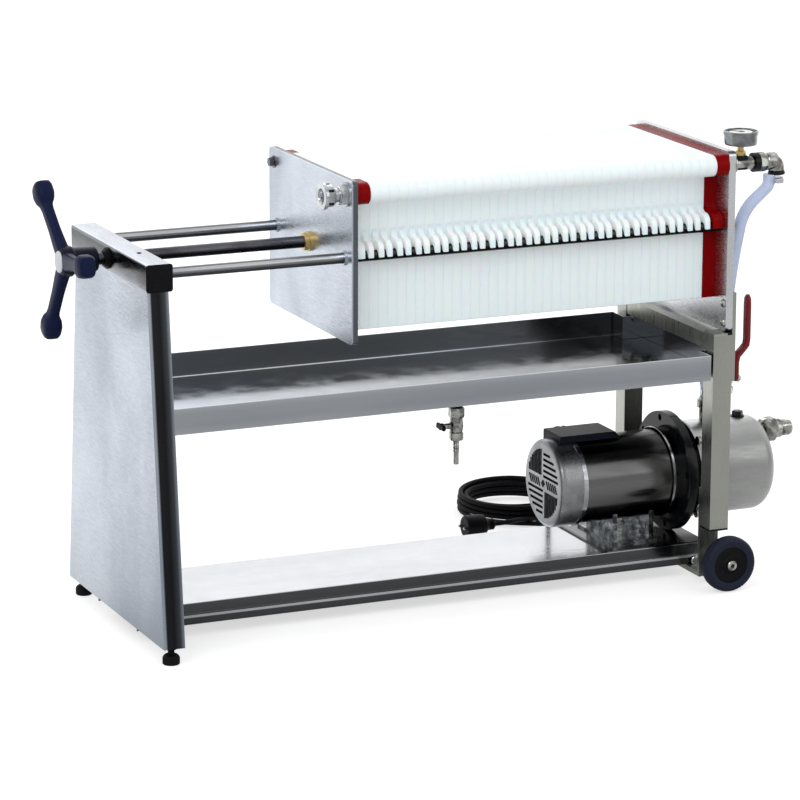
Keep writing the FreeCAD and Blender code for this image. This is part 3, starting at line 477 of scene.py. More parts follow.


# round the motor and round the pump: painted reflection bands and painted shade, as the share of a turn from
# below and the tone there
MOTOR_PAINTED_REFLECTIONS = [(0.0, 0.05), (0.14, 0.10), (0.19, 0.2), (0.23, 1.1), (0.285, 1.0), (0.33, 0.22), (0.41, 0.12),
    (0.452, 0.3), (0.47, 2.2), (0.485, 0.5), (0.60, 0.15), (0.75, 0.8), (0.88, 0.2), (1.0, 0.05)]
PUMP_PAINTED_REFLECTIONS = [(0.0, 0.5), (0.12, 0.75), (0.21, 0.16), (0.30, 0.18), (0.40, 1.0), (0.5, 1.2), (0.56, 0.8),
    (0.7, 0.6), (0.85, 0.9), (1.0, 0.5)]


def make_steels():
    """Every metal on the press: two greys, the scale of patches and grain, gloss, spread and painted light
    and shade.
    """
    inner = low("leg_far")[1]
    # Painted light and shade by place along one axis: a painted dark band on the panel's flange, painted
    # shade behind the head's front face, a painted dark front and a painted highlight along the beam's top
    # edge, a painted highlight bead and painted dark bands on the shelf, painted reflection bands along the
    # stand, painted shade on the far leg's inner face, and a painted highlight line on the screw.
    panel = by_axis("X", low("end_panel")[0], [(0, 1.0), (3.5, 1.0), (6, 0.06), (18, 0.045), (27, 0.16),
        (33, 0.8)])
    head = by_axis("X", low("pressure_head")[0], [(0, 1.0), (4.5, 1.0), (6, 0.24), (13, 0.24)])
    beam = by_axis("Z", low("top_beam")[2], [(0, 0.55), (12, 0.22), (34, 0.10), (38.5, 0.5), (40, 1.0)])
    shelf = by_axis("Z", low("shelf")[2], [(0, 0.10), (11, 0.12), (12.5, 0.9), (15, 0.9), (16.5, 0.18),
        (20, 0.11), (33.5, 0.13), (34.5, 1.0), (35, 1.0)])
    stand = by_axis("X", low("motor_stand")[0], [(0, 0.05), (3, 0.05), (5, 0.45), (50, 0.35), (100, 0.10),
        (175, 0.05)])
    leg = by_axis("Y", inner, [(-2 * inner - 35, 1.0), (-5, 1.0), (-0.5, 0.05), (0.2, 0.05), (1.5, 1.0),
        (35, 1.0)])
    screw = by_axis("Z", mid("guide_rod_near")[2], [(-9, 0.06), (-1, 0.08), (2, 0.9), (5.5, 0.9), (9, 0.3)])
    small, fine = (40, 40, 40), (60, 60, 60)
    for row in (
            ("panel steel", (0.62, 0.66, 0.73), (0.33, 0.37, 0.43), (3, 3.5, 2), (60, 60, 900), (0.24, 0.42),
             0.3, panel),
            ("head steel", (0.80, 0.86, 0.94), (0.42, 0.46, 0.52), (4, 4, 1.3), (60, 60, 900), (0.24, 0.38),
             0.34, head, 0.008, 0.06),
            ("beam steel", (0.70, 0.74, 0.82), (0.45, 0.48, 0.54), (9, 3, 9), (700, 30, 700), (0.16, 0.3),
             0.25, beam),
            ("tray steel", (0.52, 0.55, 0.58), (0.40, 0.42, 0.45), (1.5, 4, 9), (30, 30, 700), (0.09, 0.18),
             0.3, tray_painted_light, 0.02, 0.12),
            ("shelf steel", (0.86, 0.88, 0.91), (0.68, 0.70, 0.73), (1.5, 4, 9), (30, 300, 700), (0.12,
             0.26), 0.3, shelf),
            ("stand steel", (0.40, 0.42, 0.44), (0.26, 0.27, 0.29), (6, 6, 9), (300, 30, 700), (0.1, 0.24),
             0.3, stand),
            ("gauge steel", (0.36, 0.37, 0.38), (0.16, 0.165, 0.17), small, (500, 500, 500), (0.1, 0.22),
             0.2),
            ("crinkled steel", (0.36, 0.38, 0.40), (0.05, 0.055, 0.06), fine, (200, 200, 200), (0.06, 0.2),
             0.12, None, 0.5),
            ("leg steel", (0.48, 0.49, 0.44), (0.33, 0.34, 0.31), (6, 6, 2), (700, 700, 40), (0.25, 0.4),
             0.3, leg),
            ("fixed steel", (0.80, 0.82, 0.84), (0.52, 0.54, 0.56), (4, 3, 1.5), (60, 60, 800), (0.22, 0.34),
             0.3, None, 0.008, 0.06),
            ("bright steel", (0.72, 0.74, 0.76), (0.36, 0.38, 0.40), small, (500, 500, 500), (0.08, 0.2),
             0.2),
            ("nickel", (0.60, 0.60, 0.56), (0.16, 0.16, 0.15), fine, (900, 900, 900), (0.12, 0.28), 0.14),
            ("rod steel", (0.86, 0.87, 0.90), (0.66, 0.68, 0.72), (8, 30, 30), (30, 900, 900), (0.1, 0.2),
             0.3, rod_painted_light),
            ("screw steel", (0.20, 0.20, 0.23), (0.08, 0.08, 0.095), (12, 30, 30), (60, 60, 60), (0.2, 0.35),
             0.22, screw),
            ("motor steel", (0.34, 0.34, 0.33), (0.20, 0.20, 0.21), (3, 9, 9), (30, 400, 400), (0.12, 0.24),
             0.3, by_turn(mid("motor_body"), MOTOR_PAINTED_REFLECTIONS)),
            ("cover steel", (0.42, 0.43, 0.44), (0.22, 0.23, 0.24), (20, 20, 20), (400, 400, 400), (0.25,
             0.4), 0.3),
            ("pump steel", (0.72, 0.73, 0.72), (0.42, 0.43, 0.42), (3, 12, 12), (30, 700, 700), (0.25, 0.42),
             0.3, by_turn(mid("pump_body"), PUMP_PAINTED_REFLECTIONS)),
            ("brass", (0.90, 0.68, 0.12), (0.45, 0.30, 0.03), fine, (900, 300, 300), (0.2, 0.35), 0.25),
            ("dark nickel", (0.20, 0.21, 0.23), (0.08, 0.08, 0.09), fine, (900, 900, 900), (0.2, 0.4), 0.2)):
        steel(*row)


def make_plastics(colours):
    """Every plastic, rubber, paper and paint: two colours, gloss, the speckle's scale and height."""
    grip, dark = tuple(colours.grip_colour), {"Specular_IOR_Level": 0.12}
    plastic("navy plastic", grip, (0.012, 0.018, 0.055), 0.40, 420.0, 0.12, Specular_IOR_Level=0.09)
    plastic("boss plastic", tuple(0.3 * c for c in grip), (0.01, 0.012, 0.03), 0.4, 420.0, 0.12, **dark)
    plastic("black plastic", (0.003, 0.003, 0.004), (0.016, 0.016, 0.02), 0.45, 300.0, 0.1, **dark)
    plastic("black gloss", (0.005, 0.0055, 0.007), (0.02, 0.02, 0.024), 0.16, 120.0, 0.15,
        Specular_IOR_Level=0.22)
    plastic("black rubber", (0.003, 0.003, 0.0045), (0.014, 0.014, 0.016), 0.6, 500.0, 0.2, **dark)
    plastic("tyre rubber", tuple(colours.tyre_colour), (0.03, 0.035, 0.05), 0.5, 350.0, 0.15, **dark)
    plastic("lever vinyl", tuple(colours.lever_colour), (0.08, 0.003, 0.003), 0.26, 90.0, 0.06,
        Specular_IOR_Level=0.4)
    # plate white: its faint white emission is painted light, a glow the plates give off.
    plastic("plate white", tuple(colours.plate_white), (0.88, 0.90, 0.92), 0.34, 140.0, 0.03,
        Subsurface_Weight=0.4, Subsurface_Scale=0.03, Emission_Color=(0.95, 0.98, 1.0, 1.0),
        Emission_Strength=0.06)
    plastic("sheet white", (0.94, 0.95, 0.96), (0.88, 0.89, 0.90), 0.75, 900.0, 0.1)
    plastic("plate red", tuple(colours.plate_red), (0.12, 0.0006, 0.001), 0.26, 200.0, 0.06,
        Specular_IOR_Level=0.05)
    plastic("cap grey", (0.62, 0.64, 0.68), (0.45, 0.46, 0.5), 0.35, 300.0, 0.1)
    plastic("dial face", (0.82, 0.82, 0.80), (0.7, 0.7, 0.68), 0.5, 400.0, 0.02)
    plastic("clear hose", tuple(colours.hose_colour), (0.45, 0.50, 0.62), 0.16, 60.0, 0.08,
        Transmission_Weight=0.35, IOR=1.4)
    plug_finish(low("fixed_plate")[0], mid("leg_far")[2])


NODE_FINISH = {"end_panel": "panel steel", "top_beam": "beam steel", "beam_caps": "black plastic",
    "screw_nut": "black plastic", "feet": "black rubber", "screw": "screw steel", "thrust_collar": "brass",
    "handwheel": "navy plastic", "handwheel_cap": "nickel", "pressure_head": "head steel",
    "bleed_fitting": "nickel", "guide_rod_near": "rod steel", "guide_rod_far": "rod steel",
    "rod_nuts": "nickel", "filter_plates": "plate white", "filter_pads": "sheet white",
    "end_plate_head": "plate white", "end_plate_tail": "plate red", "fixed_plate": "fixed steel",
    "leg_near": "leg steel", "leg_far": "leg steel", "leg_straps": "leg steel", "leg_tie": "leg steel",
    "leg_plugs": "leg plug", "drip_tray": "tray steel", "drain_tap": "nickel",
    "drain_handle": "black plastic", "shelf": "shelf steel", "motor_stand": "stand steel",
    "axle_bar": "leg steel", "wheel_near": "tyre rubber", "wheel_far": "tyre rubber",
    "wheel_hangers": "leg steel", "axle_bolts": "bright steel", "fan_cover": "cover steel",
    "motor_body": "motor steel", "motor_flange": "black gloss", "terminal_box": "boss plastic",
    "motor_foot": "crinkled steel", "pump_body": "pump steel", "priming_plug": "black plastic",
    "suction_union": "nickel", "outlet_neck": "nickel", "delivery_hose": "clear hose",
    "outlet_hose": "clear hose", "gauge_pipe": "nickel", "gauge": "bright steel", "inlet_elbow": "nickel",
    "outlet_valve": "nickel", "valve_lever": "lever vinyl", "cord_gland": "black plastic",}


# ---- settings
class PressSizes(bpy.types.PropertyGroup):
    """Sizes of the finer pieces."""
    bolt_across: FloatProperty(name="Bolt width", description="Across the flats of the frame's bolts",
        default=13 * MM, unit="LENGTH")
    dome_radius: FloatProperty(name="Dome radius",
        description="Radius of the domed screws on the fixed plate", default=6.5 * MM, unit="LENGTH")
    cord_thick: FloatProperty(name="Cord thickness", description="Diameter of the mains cord", default=8 * MM,
        unit="LENGTH")
    coil_turns: IntProperty(name="Coil turns", description="Turns of the stored mains cord", default=7)
    plate_count: IntProperty(name="Plate count", description="Filter plates between the red ends", default=38)
    pad_thick: FloatProperty(name="Pad thickness", description="Filter pad between two plates",
        default=3.8 * MM, unit="LENGTH")
    floor_half: FloatProperty(name="Floor half", description="Half the side of the studio floor",
        default=30.0, unit="LENGTH")


class PressColours(bpy.types.PropertyGroup):
    """Colours that a user would change."""
    plate_white: FloatVectorProperty(name="Plate white", description="Moulded filter plates",
        default=(0.93, 0.955, 0.965), subtype="COLOR", size=3)
    plate_red: FloatVectorProperty(name="Plate red", description="Red end plates",
        default=(0.22, 0.0006, 0.0012), subtype="COLOR", size=3)
    grip_colour: FloatVectorProperty(name="Grip navy", description="Handwheel and terminal box",
        default=(0.006, 0.010, 0.040), subtype="COLOR", size=3)
    lever_colour: FloatVectorProperty(name="Lever red", description="Dipped vinyl on the valve lever",
        default=(0.20, 0.002, 0.005), subtype="COLOR", size=3)
    tyre_colour: FloatVectorProperty(name="Tyre", description="Wheel rubber", default=(0.014, 0.018, 0.034),
        subtype="COLOR", size=3)
    hose_colour: FloatVectorProperty(name="Hose", description="Clear hose", default=(0.66, 0.74, 0.95),
        subtype="COLOR", size=3)


class PressOperator:
    """What the press's operators share."""
    bl_options = {"REGISTER", "UNDO"}

    def execute(self, context):
        self.make(context.scene.press_sizes, context.scene.press_colours)
        return {"FINISHED"}


class MakeFinishes(PressOperator, bpy.types.Operator):
    """Build every material and put it on the press's solids"""
    bl_idname = "press.finishes"
    bl_label = "Finishes"

    def make(self, sizes, colours):
        clouds_group()
        speckle_group()
        place_group()
        make_steels()
        make_plastics(colours)
        for node, finish in NODE_FINISH.items():
            mesh = NODES[node].data
            mesh.materials.clear()
            mesh.materials.append(bpy.data.materials[finish])


CAMERA_AT = (-2.43415, -5.42487, 1.77128)
CAMERA_TURN, CAMERA_TILT, CAMERA_ROLL = -23.63, 13.85, 0.19
CAMERA_LENS, SENSOR = 178.74, 36.0


class MakeStudio(PressOperator, bpy.types.Operator):
    """Set up the floor, the soft lights, the world and the camera"""
    bl_idname = "press.studio"
    bl_label = "Studio"

    def make(self, sizes, colours):
        scene = bpy.context.scene
        scene.view_settings.view_transform = "Standard"
        turn, tilt, roll = (math.radians(a) for a in (CAMERA_TURN, CAMERA_TILT, CAMERA_ROLL))
        back = np.array([math.sin(turn) * math.cos(tilt), -math.cos(turn) * math.cos(tilt), math.sin(tilt)])
        right = np.array([math.cos(turn), math.sin(turn), 0.0])
        top = np.cross(back, right)
        right, top = (math.cos(roll) * right + math.sin(roll) * top, math.cos(roll) * top - math.sin(roll)
            * right)
        data = bpy.data.cameras.new("camera")
        data.lens, data.sensor_width, data.clip_end = CAMERA_LENS, SENSOR, 100.0
        camera = bpy.data.objects.new("camera", data)
        scene.collection.objects.link(camera)
        camera.matrix_world = standing(right, top, back, CAMERA_AT)
        scene.camera = camera
        self.make_floor(sizes.floor_half)
        self.make_world()
        for name, at, aim, wide, power in (("key", (-3.0, -2.5, 3.6), (0, 0, 0.3), 2.6, 52.0),
                ("fill", (2.8, -3.2, 2.4), (0, 0, 0.3), 2.6, 16.0), ("back", (0.5, 3.2, 3.0), (0, 0, 0.3),
                3.0, 30.0)):
            lamp = bpy.data.lights.new(name, "AREA")
            lamp.size, lamp.energy = wide, power
            item = bpy.data.objects.new(name, lamp)
            scene.collection.objects.link(item)
            away = np.array(at, float) - np.array(aim, float)
            first, second = across(away)
            away /= np.linalg.norm(away)
            item.matrix_world = standing(first, second, away, at)

    def make_floor(self, half):
        """A plain pale floor that keeps the press's shadow, and shows white to the camera."""
        side = np.linspace(-half, half, 3)
        grid = np.stack(np.meshgrid(side, side, [0.0], indexing="ij"), -1).reshape(-1, 3)
        i = np.array([0, 1, 3, 4])
        faces = np.stack([i, i + 3, i + 4, i + 1], -1).tolist()
        mesh = bpy.data.meshes.new("floor")
        mesh.from_pydata(grid.tolist(), [], faces)
        tree, surface = new_material("studio floor", Roughness=0.9, Specular_IOR_Level=0.1)
        place = tree.nodes.new("ShaderNodeTexCoord").outputs["Object"]
        mottle = add(tree, "ShaderNodeTexNoise", {"Vector": place, "Scale": 1.5})
        link(tree, surface, "Base Color", mixed(tree, mottle.outputs["Fac"], (0.55, 0.55, 0.55),
            (0.58, 0.58, 0.58)))
        rays = tree.nodes.new("ShaderNodeLightPath")
        own = add(tree, "ShaderNodeSeparateXYZ", {0: place})
        behind = between(tree, own.outputs["Y"], -0.6, 0.8, 0.0, 1.0)
        seen = maths(tree, "MAXIMUM", rays.outputs["Is Camera Ray"], rays.outputs["Is Transmission Ray"])
        glossy = maths(tree, "MULTIPLY", rays.outputs["Is Glossy Ray"], behind)
        lift = maths(tree, "MULTIPLY", maths(tree, "MAXIMUM", seen, glossy), 0.62)
        glow = add(tree, "ShaderNodeEmission", {"Color": (1, 1, 1, 1), "Strength": lift})
        both = add(tree, "ShaderNodeAddShader", {0: surface.outputs[0], 1: glow.outputs[0]})
        tree.links.new(both.outputs[0], tree.nodes["Material Output"].inputs["Surface"])
        mesh.materials.append(bpy.data.materials["studio floor"])
        item = bpy.data.objects.new("floor", mesh)
        bpy.context.scene.collection.objects.link(item)

    def make_world(self):
        """White where the camera, gloss and glass look; softer light on everything else."""
        world = bpy.data.worlds.new("studio")
        bpy.context.scene.world = world
        world.use_nodes = True
        tree = world.node_tree
        sky = tree.nodes["Background"]
        rays = tree.nodes.new("ShaderNodeLightPath")
        seen = maths(tree, "MAXIMUM", rays.outputs["Is Camera Ray"], rays.outputs["Is Transmission Ray"])
        way = add(tree, "ShaderNodeSeparateXYZ",
            {0: tree.nodes.new("ShaderNodeTexCoord").outputs["Generated"]})
        open_side = between(tree, way.outputs["Y"], -0.7, 0.2, 0.35, 1.0)
        glossy = maths(tree, "MULTIPLY", rays.outputs["Is Glossy Ray"], open_side)
        strength = maths(tree, "MAXIMUM", maths(tree, "MAXIMUM", seen, glossy), 0.62)
        diffuse = maths(tree, "MULTIPLY", rays.outputs["Is Diffuse Ray"], 0.9)
        strength = maths(tree, "MAXIMUM", strength, diffuse)
        link(tree, sky, "Color", (1.0, 1.0, 1.0, 1.0))
        link(tree, sky, "Strength", strength)


# the cord's points in millimetres: from the gland down and out to the coil, and from it to the plug
CORD_RUN = [(254, 52, 217), (254, 100, 217), (266, 142, 186), (276, 168, 133), (286, 188, 84), (296, 210, 40),
    (306, 238, 12), (304, 262, 7)]
PLUG_RUN = [(318, 286, 8), (296, 276, 13), (268, 262, 18), (250, 252, 19.5), (238, 250, 19.5),
    (214, 250, 19.5)]
COIL_MIDDLE, COIL_FROM, COIL_STEPS = (310, 371.4), math.radians(248), 16
COIL_WIDE, COIL_NARROWER, COIL_LOOSE = 92.0, 10.0, 1.2
COIL_LOWEST, COIL_CLIMB = 5.0, 8.5


class MakeCord(PressOperator, bpy.types.Operator):
    """Lay the mains cord with its coil, plug and strain relief"""
    bl_idname = "press.cord"
    bl_label = "Mains cord"

    def make(self, sizes, colours):
        turns = sizes.coil_turns
        steps = np.arange(0, turns * COIL_STEPS)
        angle = COIL_FROM - steps * 2 * math.pi / COIL_STEPS
        done = steps / COIL_STEPS
        layer = np.where(done < turns / 2, done, turns - done)
        blend = np.clip((done - turns / 2) * 2 + 0.5, 0, 1)
        radius = COIL_WIDE - COIL_NARROWER * blend * blend * (3 - 2 * blend) + COIL_LOOSE * np.sin(steps
            * 0.7)
        coil = np.stack([COIL_MIDDLE[0] + radius * np.cos(angle), COIL_MIDDLE[1] + radius * np.sin(angle),
            COIL_LOWEST + COIL_CLIMB * layer], -1)
        points = np.array(CORD_RUN + coil.tolist() + PLUG_RUN, float) * MM
        curve = bpy.data.curves.new("mains_cord", "CURVE")
        curve.dimensions = "3D"
        curve.bevel_depth = 1.0  # times each point's own radius
        curve.bevel_resolution = 4
        curve.use_fill_caps = True
        spline = curve.splines.new("NURBS")
        spline.points.add(len(points) - 1)
        spline.points.foreach_set("co", np.column_stack([points, np.ones(len(points))]).ravel())
        spline.points.foreach_set("radius", np.full(len(points), sizes.cord_thick / 2))
        spline.order_u = 3
        spline.use_endpoint_u = True
        curve.materials.append(bpy.data.materials["black rubber"])
        item = bpy.data.objects.new("mains_cord", curve)
        bpy.context.scene.collection.objects.link(item)
        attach(item, "frame")
        plug_at = np.array(PLUG_RUN[-1])
        plug = make_piece("mains_plug", [turned([(-6, 4.2), (0, 7.5), (8, 9), (12, 12), (16, 17), (24, 18.5),
            (44, 19), (48, 18.6), (50, 16.5)], plug_at, "-x", 40), turned(ringed(-2, 7, 9.5, 1.5, 3), plug_at,
            "-x", 32)], "black plastic", "frame", ("cord_plug",))
        pins = make_piece("mains_pins", [turned([(0, 2.4), (5, 2.4), (6, 1.6)],
            plug_at + np.array([-50, side * 9.5, 0]), "-x", 20) for side in (-1, 1)], "nickel", "frame")
        gland = mid("cord_gland")
        gland[1] = low("cord_gland")[1]
        relief = make_piece("cord_relief", [turned([(0, 9), (4, 9)], gland, "+y", 6),
            turned([(4, 8), (9, 8), (12, 6.5)], gland, "+y", 32), turned(ringed(12, 34, 6.2, 0.8, 6)
            + [(36, 4.6)], gland, "+y", 32)], "black plastic", "frame", ("cord_gland",))
        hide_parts("cord_tube", "cord_coil", "cord_tail")
        curve_length(item)


def curve_length(item):
    """The length of a curve's own line: the sum of its steps."""
    depth = item.data.bevel_depth
    item.data.bevel_depth = 0.0
    bpy.context.view_layer.update()
    mesh = bpy.data.meshes.new_from_object(item.evaluated_get(bpy.context.evaluated_depsgraph_get()))
    points = np.zeros(len(mesh.vertices) * 3)
    mesh.vertices.foreach_get("co", points)
    item.data.bevel_depth = depth
    bpy.data.meshes.remove(mesh)
    return float(np.linalg.norm(np.diff(points.reshape(-1, 3), axis=0), axis=1).sum())


class MakeHandwheel(PressOperator, bpy.types.Operator):
    """Model the three-armed handwheel with its hub and cap"""
    bl_idname = "press.handwheel"
    bl_label = "Handwheel"

    def make(self, sizes, colours):
        axis = mid("screw")
        face, back = low("handwheel")[0], high("handwheel")[0]
        plane = face + 15
        hub_front = face + 14.5
        parts = [turned([(0, 16), (1, 18.5), (3, 21), (12, 23), (17, 23), (21, 20), (24, 19.5),
            (back - hub_front - 2, 18.5), (back - hub_front, 17)], (hub_front, axis[1], axis[2]), "+x", 56)]
        make_piece("grip_wheel_boss", parts, "boss plastic", "screw")
        parts = []
        reach = 130
        station = np.concatenate([np.linspace(0, 0.66, 12), np.linspace(0.70, 0.97, 12), [0.985, 0.996, 1.0]])
        wide = np.interp(station, [0, 0.2, 0.4, 0.66, 0.72, 0.78, 0.85, 0.94, 0.985, 0.996, 1.0],
            [30, 26, 22, 20.5, 22, 31, 35, 34, 29, 22, 10])
        deep = np.interp(station, [0, 0.2, 0.4, 0.66, 0.72, 0.78, 0.85, 0.94, 0.985, 0.996, 1.0],
            [20, 18, 16, 16, 18, 26, 29.5, 28, 24, 18, 8])
        lean = np.interp(station, [0, 0.25, 0.7, 1.0], [10, 6, 0.5, 0])
        turn = np.linspace(0, 2 * math.pi, 40, endpoint=False)
        power = 0.62
        ring_wide = np.sign(np.cos(turn)) * np.abs(np.cos(turn)) ** power
        ring_deep = np.sign(np.sin(turn)) * np.abs(np.sin(turn)) ** power
        for angle in np.radians([52.5, 172.5, 292.5]):
            out = np.array([0, math.cos(angle), math.sin(angle)])
            side = np.array([0, -math.sin(angle), math.cos(angle)])
            centre = (np.array([plane, axis[1], axis[2]]) + station[:, None] * reach * out + lean[:, None]
                * np.array([1.0, 0, 0]))
            points = (centre[:, None] + ring_wide[None, :, None] * (wide / 2)[:, None, None] * side
                + ring_deep[None, :, None] * (deep / 2)[:, None, None] * np.array([-1.0, 0, 0]))
            parts.append(skin(points[:, ::-1]))
        make_piece("grip_wheel", parts, "navy plastic", "screw", ("handwheel",), 38)
        make_piece("grip_wheel_cap", [turned([(-1, 16), (0.5, 16.4), (2, 15.2), (3, 12), (3.2, 0)],
            (hub_front, axis[1], axis[2]), "-x", 48)], "cap grey", "screw", ("handwheel_cap",))


BEAM_PLUG_Y = -75


class MakeBeam(PressOperator, bpy.types.Operator):
    """Model the beam's square tube with soft corners, its moulded caps, the screw's ring and the feet"""
    bl_idname = "press.beam"
    bl_label = "Beam and feet"

    def make(self, sizes, colours):
        lowest, highest = low("top_beam"), high("top_beam")
        make_piece("beam_tube", [bar(lowest, highest, "y", 3)], "beam steel", "frame", ("top_beam",))
        caps = []
        for start, end in ((low("beam_caps")[1], lowest[1]), (highest[1], high("beam_caps")[1])):
            over = 0.6 if end < 0 else -0.8
            caps.append(bar((lowest[0] - over, start, lowest[2] - over),
                (highest[0] + over, end, highest[2] + over), "y", 4, 1.2))
        make_piece("beam_plugs", caps, "black plastic", "frame", ("beam_caps",))
        nut = mid("screw_nut")
        face = high("screw_nut")[0]
        inner = high("screw")[1] - nut[1] + 0.5
        ring = [(0, inner), (0, 16), (3, 16), (4, 15), (4.4, 13), (7, 12.5), (8, 11.5), (8, inner),
            (0, inner)]
        make_piece("screw_ring", [turned(ring, (face, nut[1], nut[2]), "-x", 48)], "black plastic", "frame",
            ("screw_nut",))
        centre = mid("top_beam")
        make_piece("beam_plug", [domed(4, 1.5, (centre[0] + 2, BEAM_PLUG_Y, highest[2] - 0.3), "+z")],
            "black plastic", "frame")
        feet = []
        for side in (-1, 1):
            at = (mid("feet")[0], side * (high("feet")[1] - 13), 0.0)
            feet.append(turned([(0, 11.5), (1.5, 13), (10, 13), (13, 11.5), (15, 9), (15, 5), (27, 5)], at,
                "+z", 40))
            feet.append(hex_head(13, 5, (at[0], at[1], 21.9), "+z"))
        make_piece("levelling_feet", feet, "black rubber", "frame", ("feet",))


class MakeFasteners(PressOperator, bpy.types.Operator):
    """Add the bolts, washers and domed screws of the frame"""
    bl_idname = "press.fasteners"
    bl_label = "Fasteners"

    def make(self, sizes, colours):
        flats = sizes.bolt_across / MM
        eye_y, eye_z = mid("bleed_fitting")[1:]
        plate_x = high("pressure_head")[0] - 10
        parts = [turned([(0, 9.5), (1.4, 9.5), (1.6, 9)], (plate_x, -eye_y, eye_z), "-x", 32),
            hex_head(flats, 7, (plate_x - 1.6, -eye_y, eye_z), "-x", 0.3)]
        make_piece("head_bolt", parts, "dark nickel", "pressure_head")
        fixed_x, low_z = low("fixed_plate")[0], low("fixed_plate")[2]
        leg_y = mid("leg_far")[1]
        parts = [domed(sizes.dome_radius / MM, 4.5, (fixed_x, side * leg_y, low_z + level), "-x")
            for side in (-1, 1) for level in (14, 44)]
        make_piece("fixed_plate_screws", parts, "nickel", "frame")
        leg = low("leg_near")
        parts = []
        for side in (-1, 1):
            inner = side * low("leg_far")[1]
            way = "-y" if side > 0 else "+y"
            at = (leg[0] + 15, inner, 374)
            parts += [turned([(0, 9), (1.2, 9)], at, way, 28), hex_head(flats, 6,
                (at[0], inner - side * 1.2, at[2]), way)]
        make_piece("leg_bolts", parts, "nickel", "frame")
        at = (high("shelf")[0] - 16.5, -high("shelf")[1] + 1, 27)
        parts = [turned([(0, 8), (3, 8), (4, 7)], (at[0], side * at[1], at[2]), way, 28)
            for side, way in ((1, "-y"), (-1, "+y"))]
        make_piece("shelf_bolts", parts, "bright steel", "frame")


# the plates of the pack, in millimetres: the lugs over the rods stand in two rows by turns
PLATE_PAST_PAD, PLATE_GAP = 0.3, 0.06
LUG_REACH, LUG_SEAT, LUG_BELOW_ROD = 146, 8.3, 1.4
LUG_THICK, LUG_SHIFTS = 8.6, (0.6, 2.3)


class MakePack(PressOperator, bpy.types.Operator):
    """Model the closed pack: lugged plates with round eyes, the sheets between them and the red ends"""
    bl_idname = "press.pack"
    bl_label = "Plate pack"

    def lug(self, side):
        """The outline of a rod lug: a hollow quarter turn down from the plate's side, a full one over
        the rod, a lip, and a half turn round the rod."""
        half = high("filter_pads")[1] + PLATE_PAST_PAD
        rod_y, rod_z = mid("guide_rod_far")[1:]
        low_z, crown = rod_z - LUG_BELOW_ROD, rod_z + LUG_SEAT
        turn = (LUG_REACH - half) / 2
        down = np.linspace(math.pi, 1.5 * math.pi, 7)
        over = np.linspace(math.pi / 2, 0, 8)
        seat_turn = np.linspace(0, math.pi, 11)
        parts = [[(half - 1, low_z), (half - 1, crown + 2 * turn)], np.stack([half + turn + turn
            * np.cos(down), crown + 2 * turn + turn * np.sin(down)], -1),
            np.stack([LUG_REACH - turn + turn * np.cos(over), crown + turn * np.sin(over)], -1)[1:],
            [(LUG_REACH, low_z)], np.stack([rod_y + LUG_SEAT * np.cos(seat_turn),
            rod_z + LUG_SEAT * np.sin(seat_turn)], -1), [(rod_y - LUG_SEAT, low_z)]]
        points = np.concatenate([np.array(part, float) for part in parts])[::-1]
        return points if side > 0 else (points * [-1, 1])[::-1]

    def eye(self, side):
        """The outline of a corner eye: three eighths of a turn past the side, joined to the plate."""
        half = high("filter_pads")[1] - 1
        eye_y, eye_z = abs(mid("bleed_fitting")[1]), mid("bleed_fitting")[2]
        radius = high("filter_plates")[2] - eye_z
        turn = np.linspace(-0.75 * math.pi, 0.5 * math.pi, 26)
        round_part = np.stack([eye_y + radius * np.cos(turn), eye_z + radius * np.sin(turn)], -1)
        points = np.concatenate([[(half, round_part[0, 1])], round_part, [(half, eye_z + radius)]])
        return points if side > 0 else (points * [-1, 1])[::-1]

    def plate(self, start, end, lug_start, lug_end, eye_start, eye_end):
        """The slab, two lugs and two eyes of one plate, between places along X."""
        half = high("filter_pads")[1] + PLATE_PAST_PAD
        bottom, top = low("filter_plates")[2], high("filter_plates")[2]
        slab = [bar((start, -half, bottom), (end, half, top), "x", 1.6, 0.22)]
        lugs = [flat_plate(self.lug(side), lug_start, lug_end, 0.7) for side in (-1, 1)]
        eyes = [flat_plate(self.eye(side), eye_start, eye_end, 0.25) for side in (-1, 1)]
        return slab + lugs, eyes

    def make(self, sizes, colours):
        pads_low, pads_high = low("filter_pads")[0], high("filter_pads")[0]
        count, pad = sizes.plate_count, sizes.pad_thick / MM
        pitch = (pads_high - pads_low - pad) / count
        body = []
        for number in range(count):
            start = pads_low + pad + number * pitch
            shift = LUG_SHIFTS[number % 2]
            first, last = start - pad / 2 + PLATE_GAP / 2, start + pitch - pad / 2 - PLATE_GAP / 2
            slab, eyes = self.plate(first, last, start + shift, start + shift + LUG_THICK, first, last)
            body += slab + eyes
        make_piece("plate_pack", body, "plate white", "frame", ("filter_plates",), 40)
        half, bottom, top = high("filter_pads")[1] - 0.2, low("filter_pads")[2] + 0.3, high("filter_pads")[2]
        sheets = []
        for number in range(count + 1):
            middle = pads_low + pad / 2 + number * pitch
            sheets.append(bar((middle - 0.6, -half, bottom), (middle + 0.6, half, top - 0.4), "x", 1.5))
        make_piece("filter_sheets", sheets, "sheet white", "frame", ("filter_pads",), 40)
        start, end = low("end_plate_head")[0], high("end_plate_head")[0]
        slab, eyes = self.plate(start, pads_low + pad / 2 - 0.1, start + 0.5, pads_low - 1, start, end)
        make_piece("first_plate", slab, "plate white", "frame", ("end_plate_head",), 40)
        make_piece("first_plate_eyes", eyes, "plate red", "frame", (), 40)
        start, end = low("end_plate_tail")[0], high("end_plate_tail")[0]
        slab, eyes = self.plate(pads_high - pad / 2 + 0.1, end, pads_high + 1, end - 0.5, start, end)
        make_piece("last_plate", slab + eyes, "plate red", "frame", ("end_plate_tail",), 40)


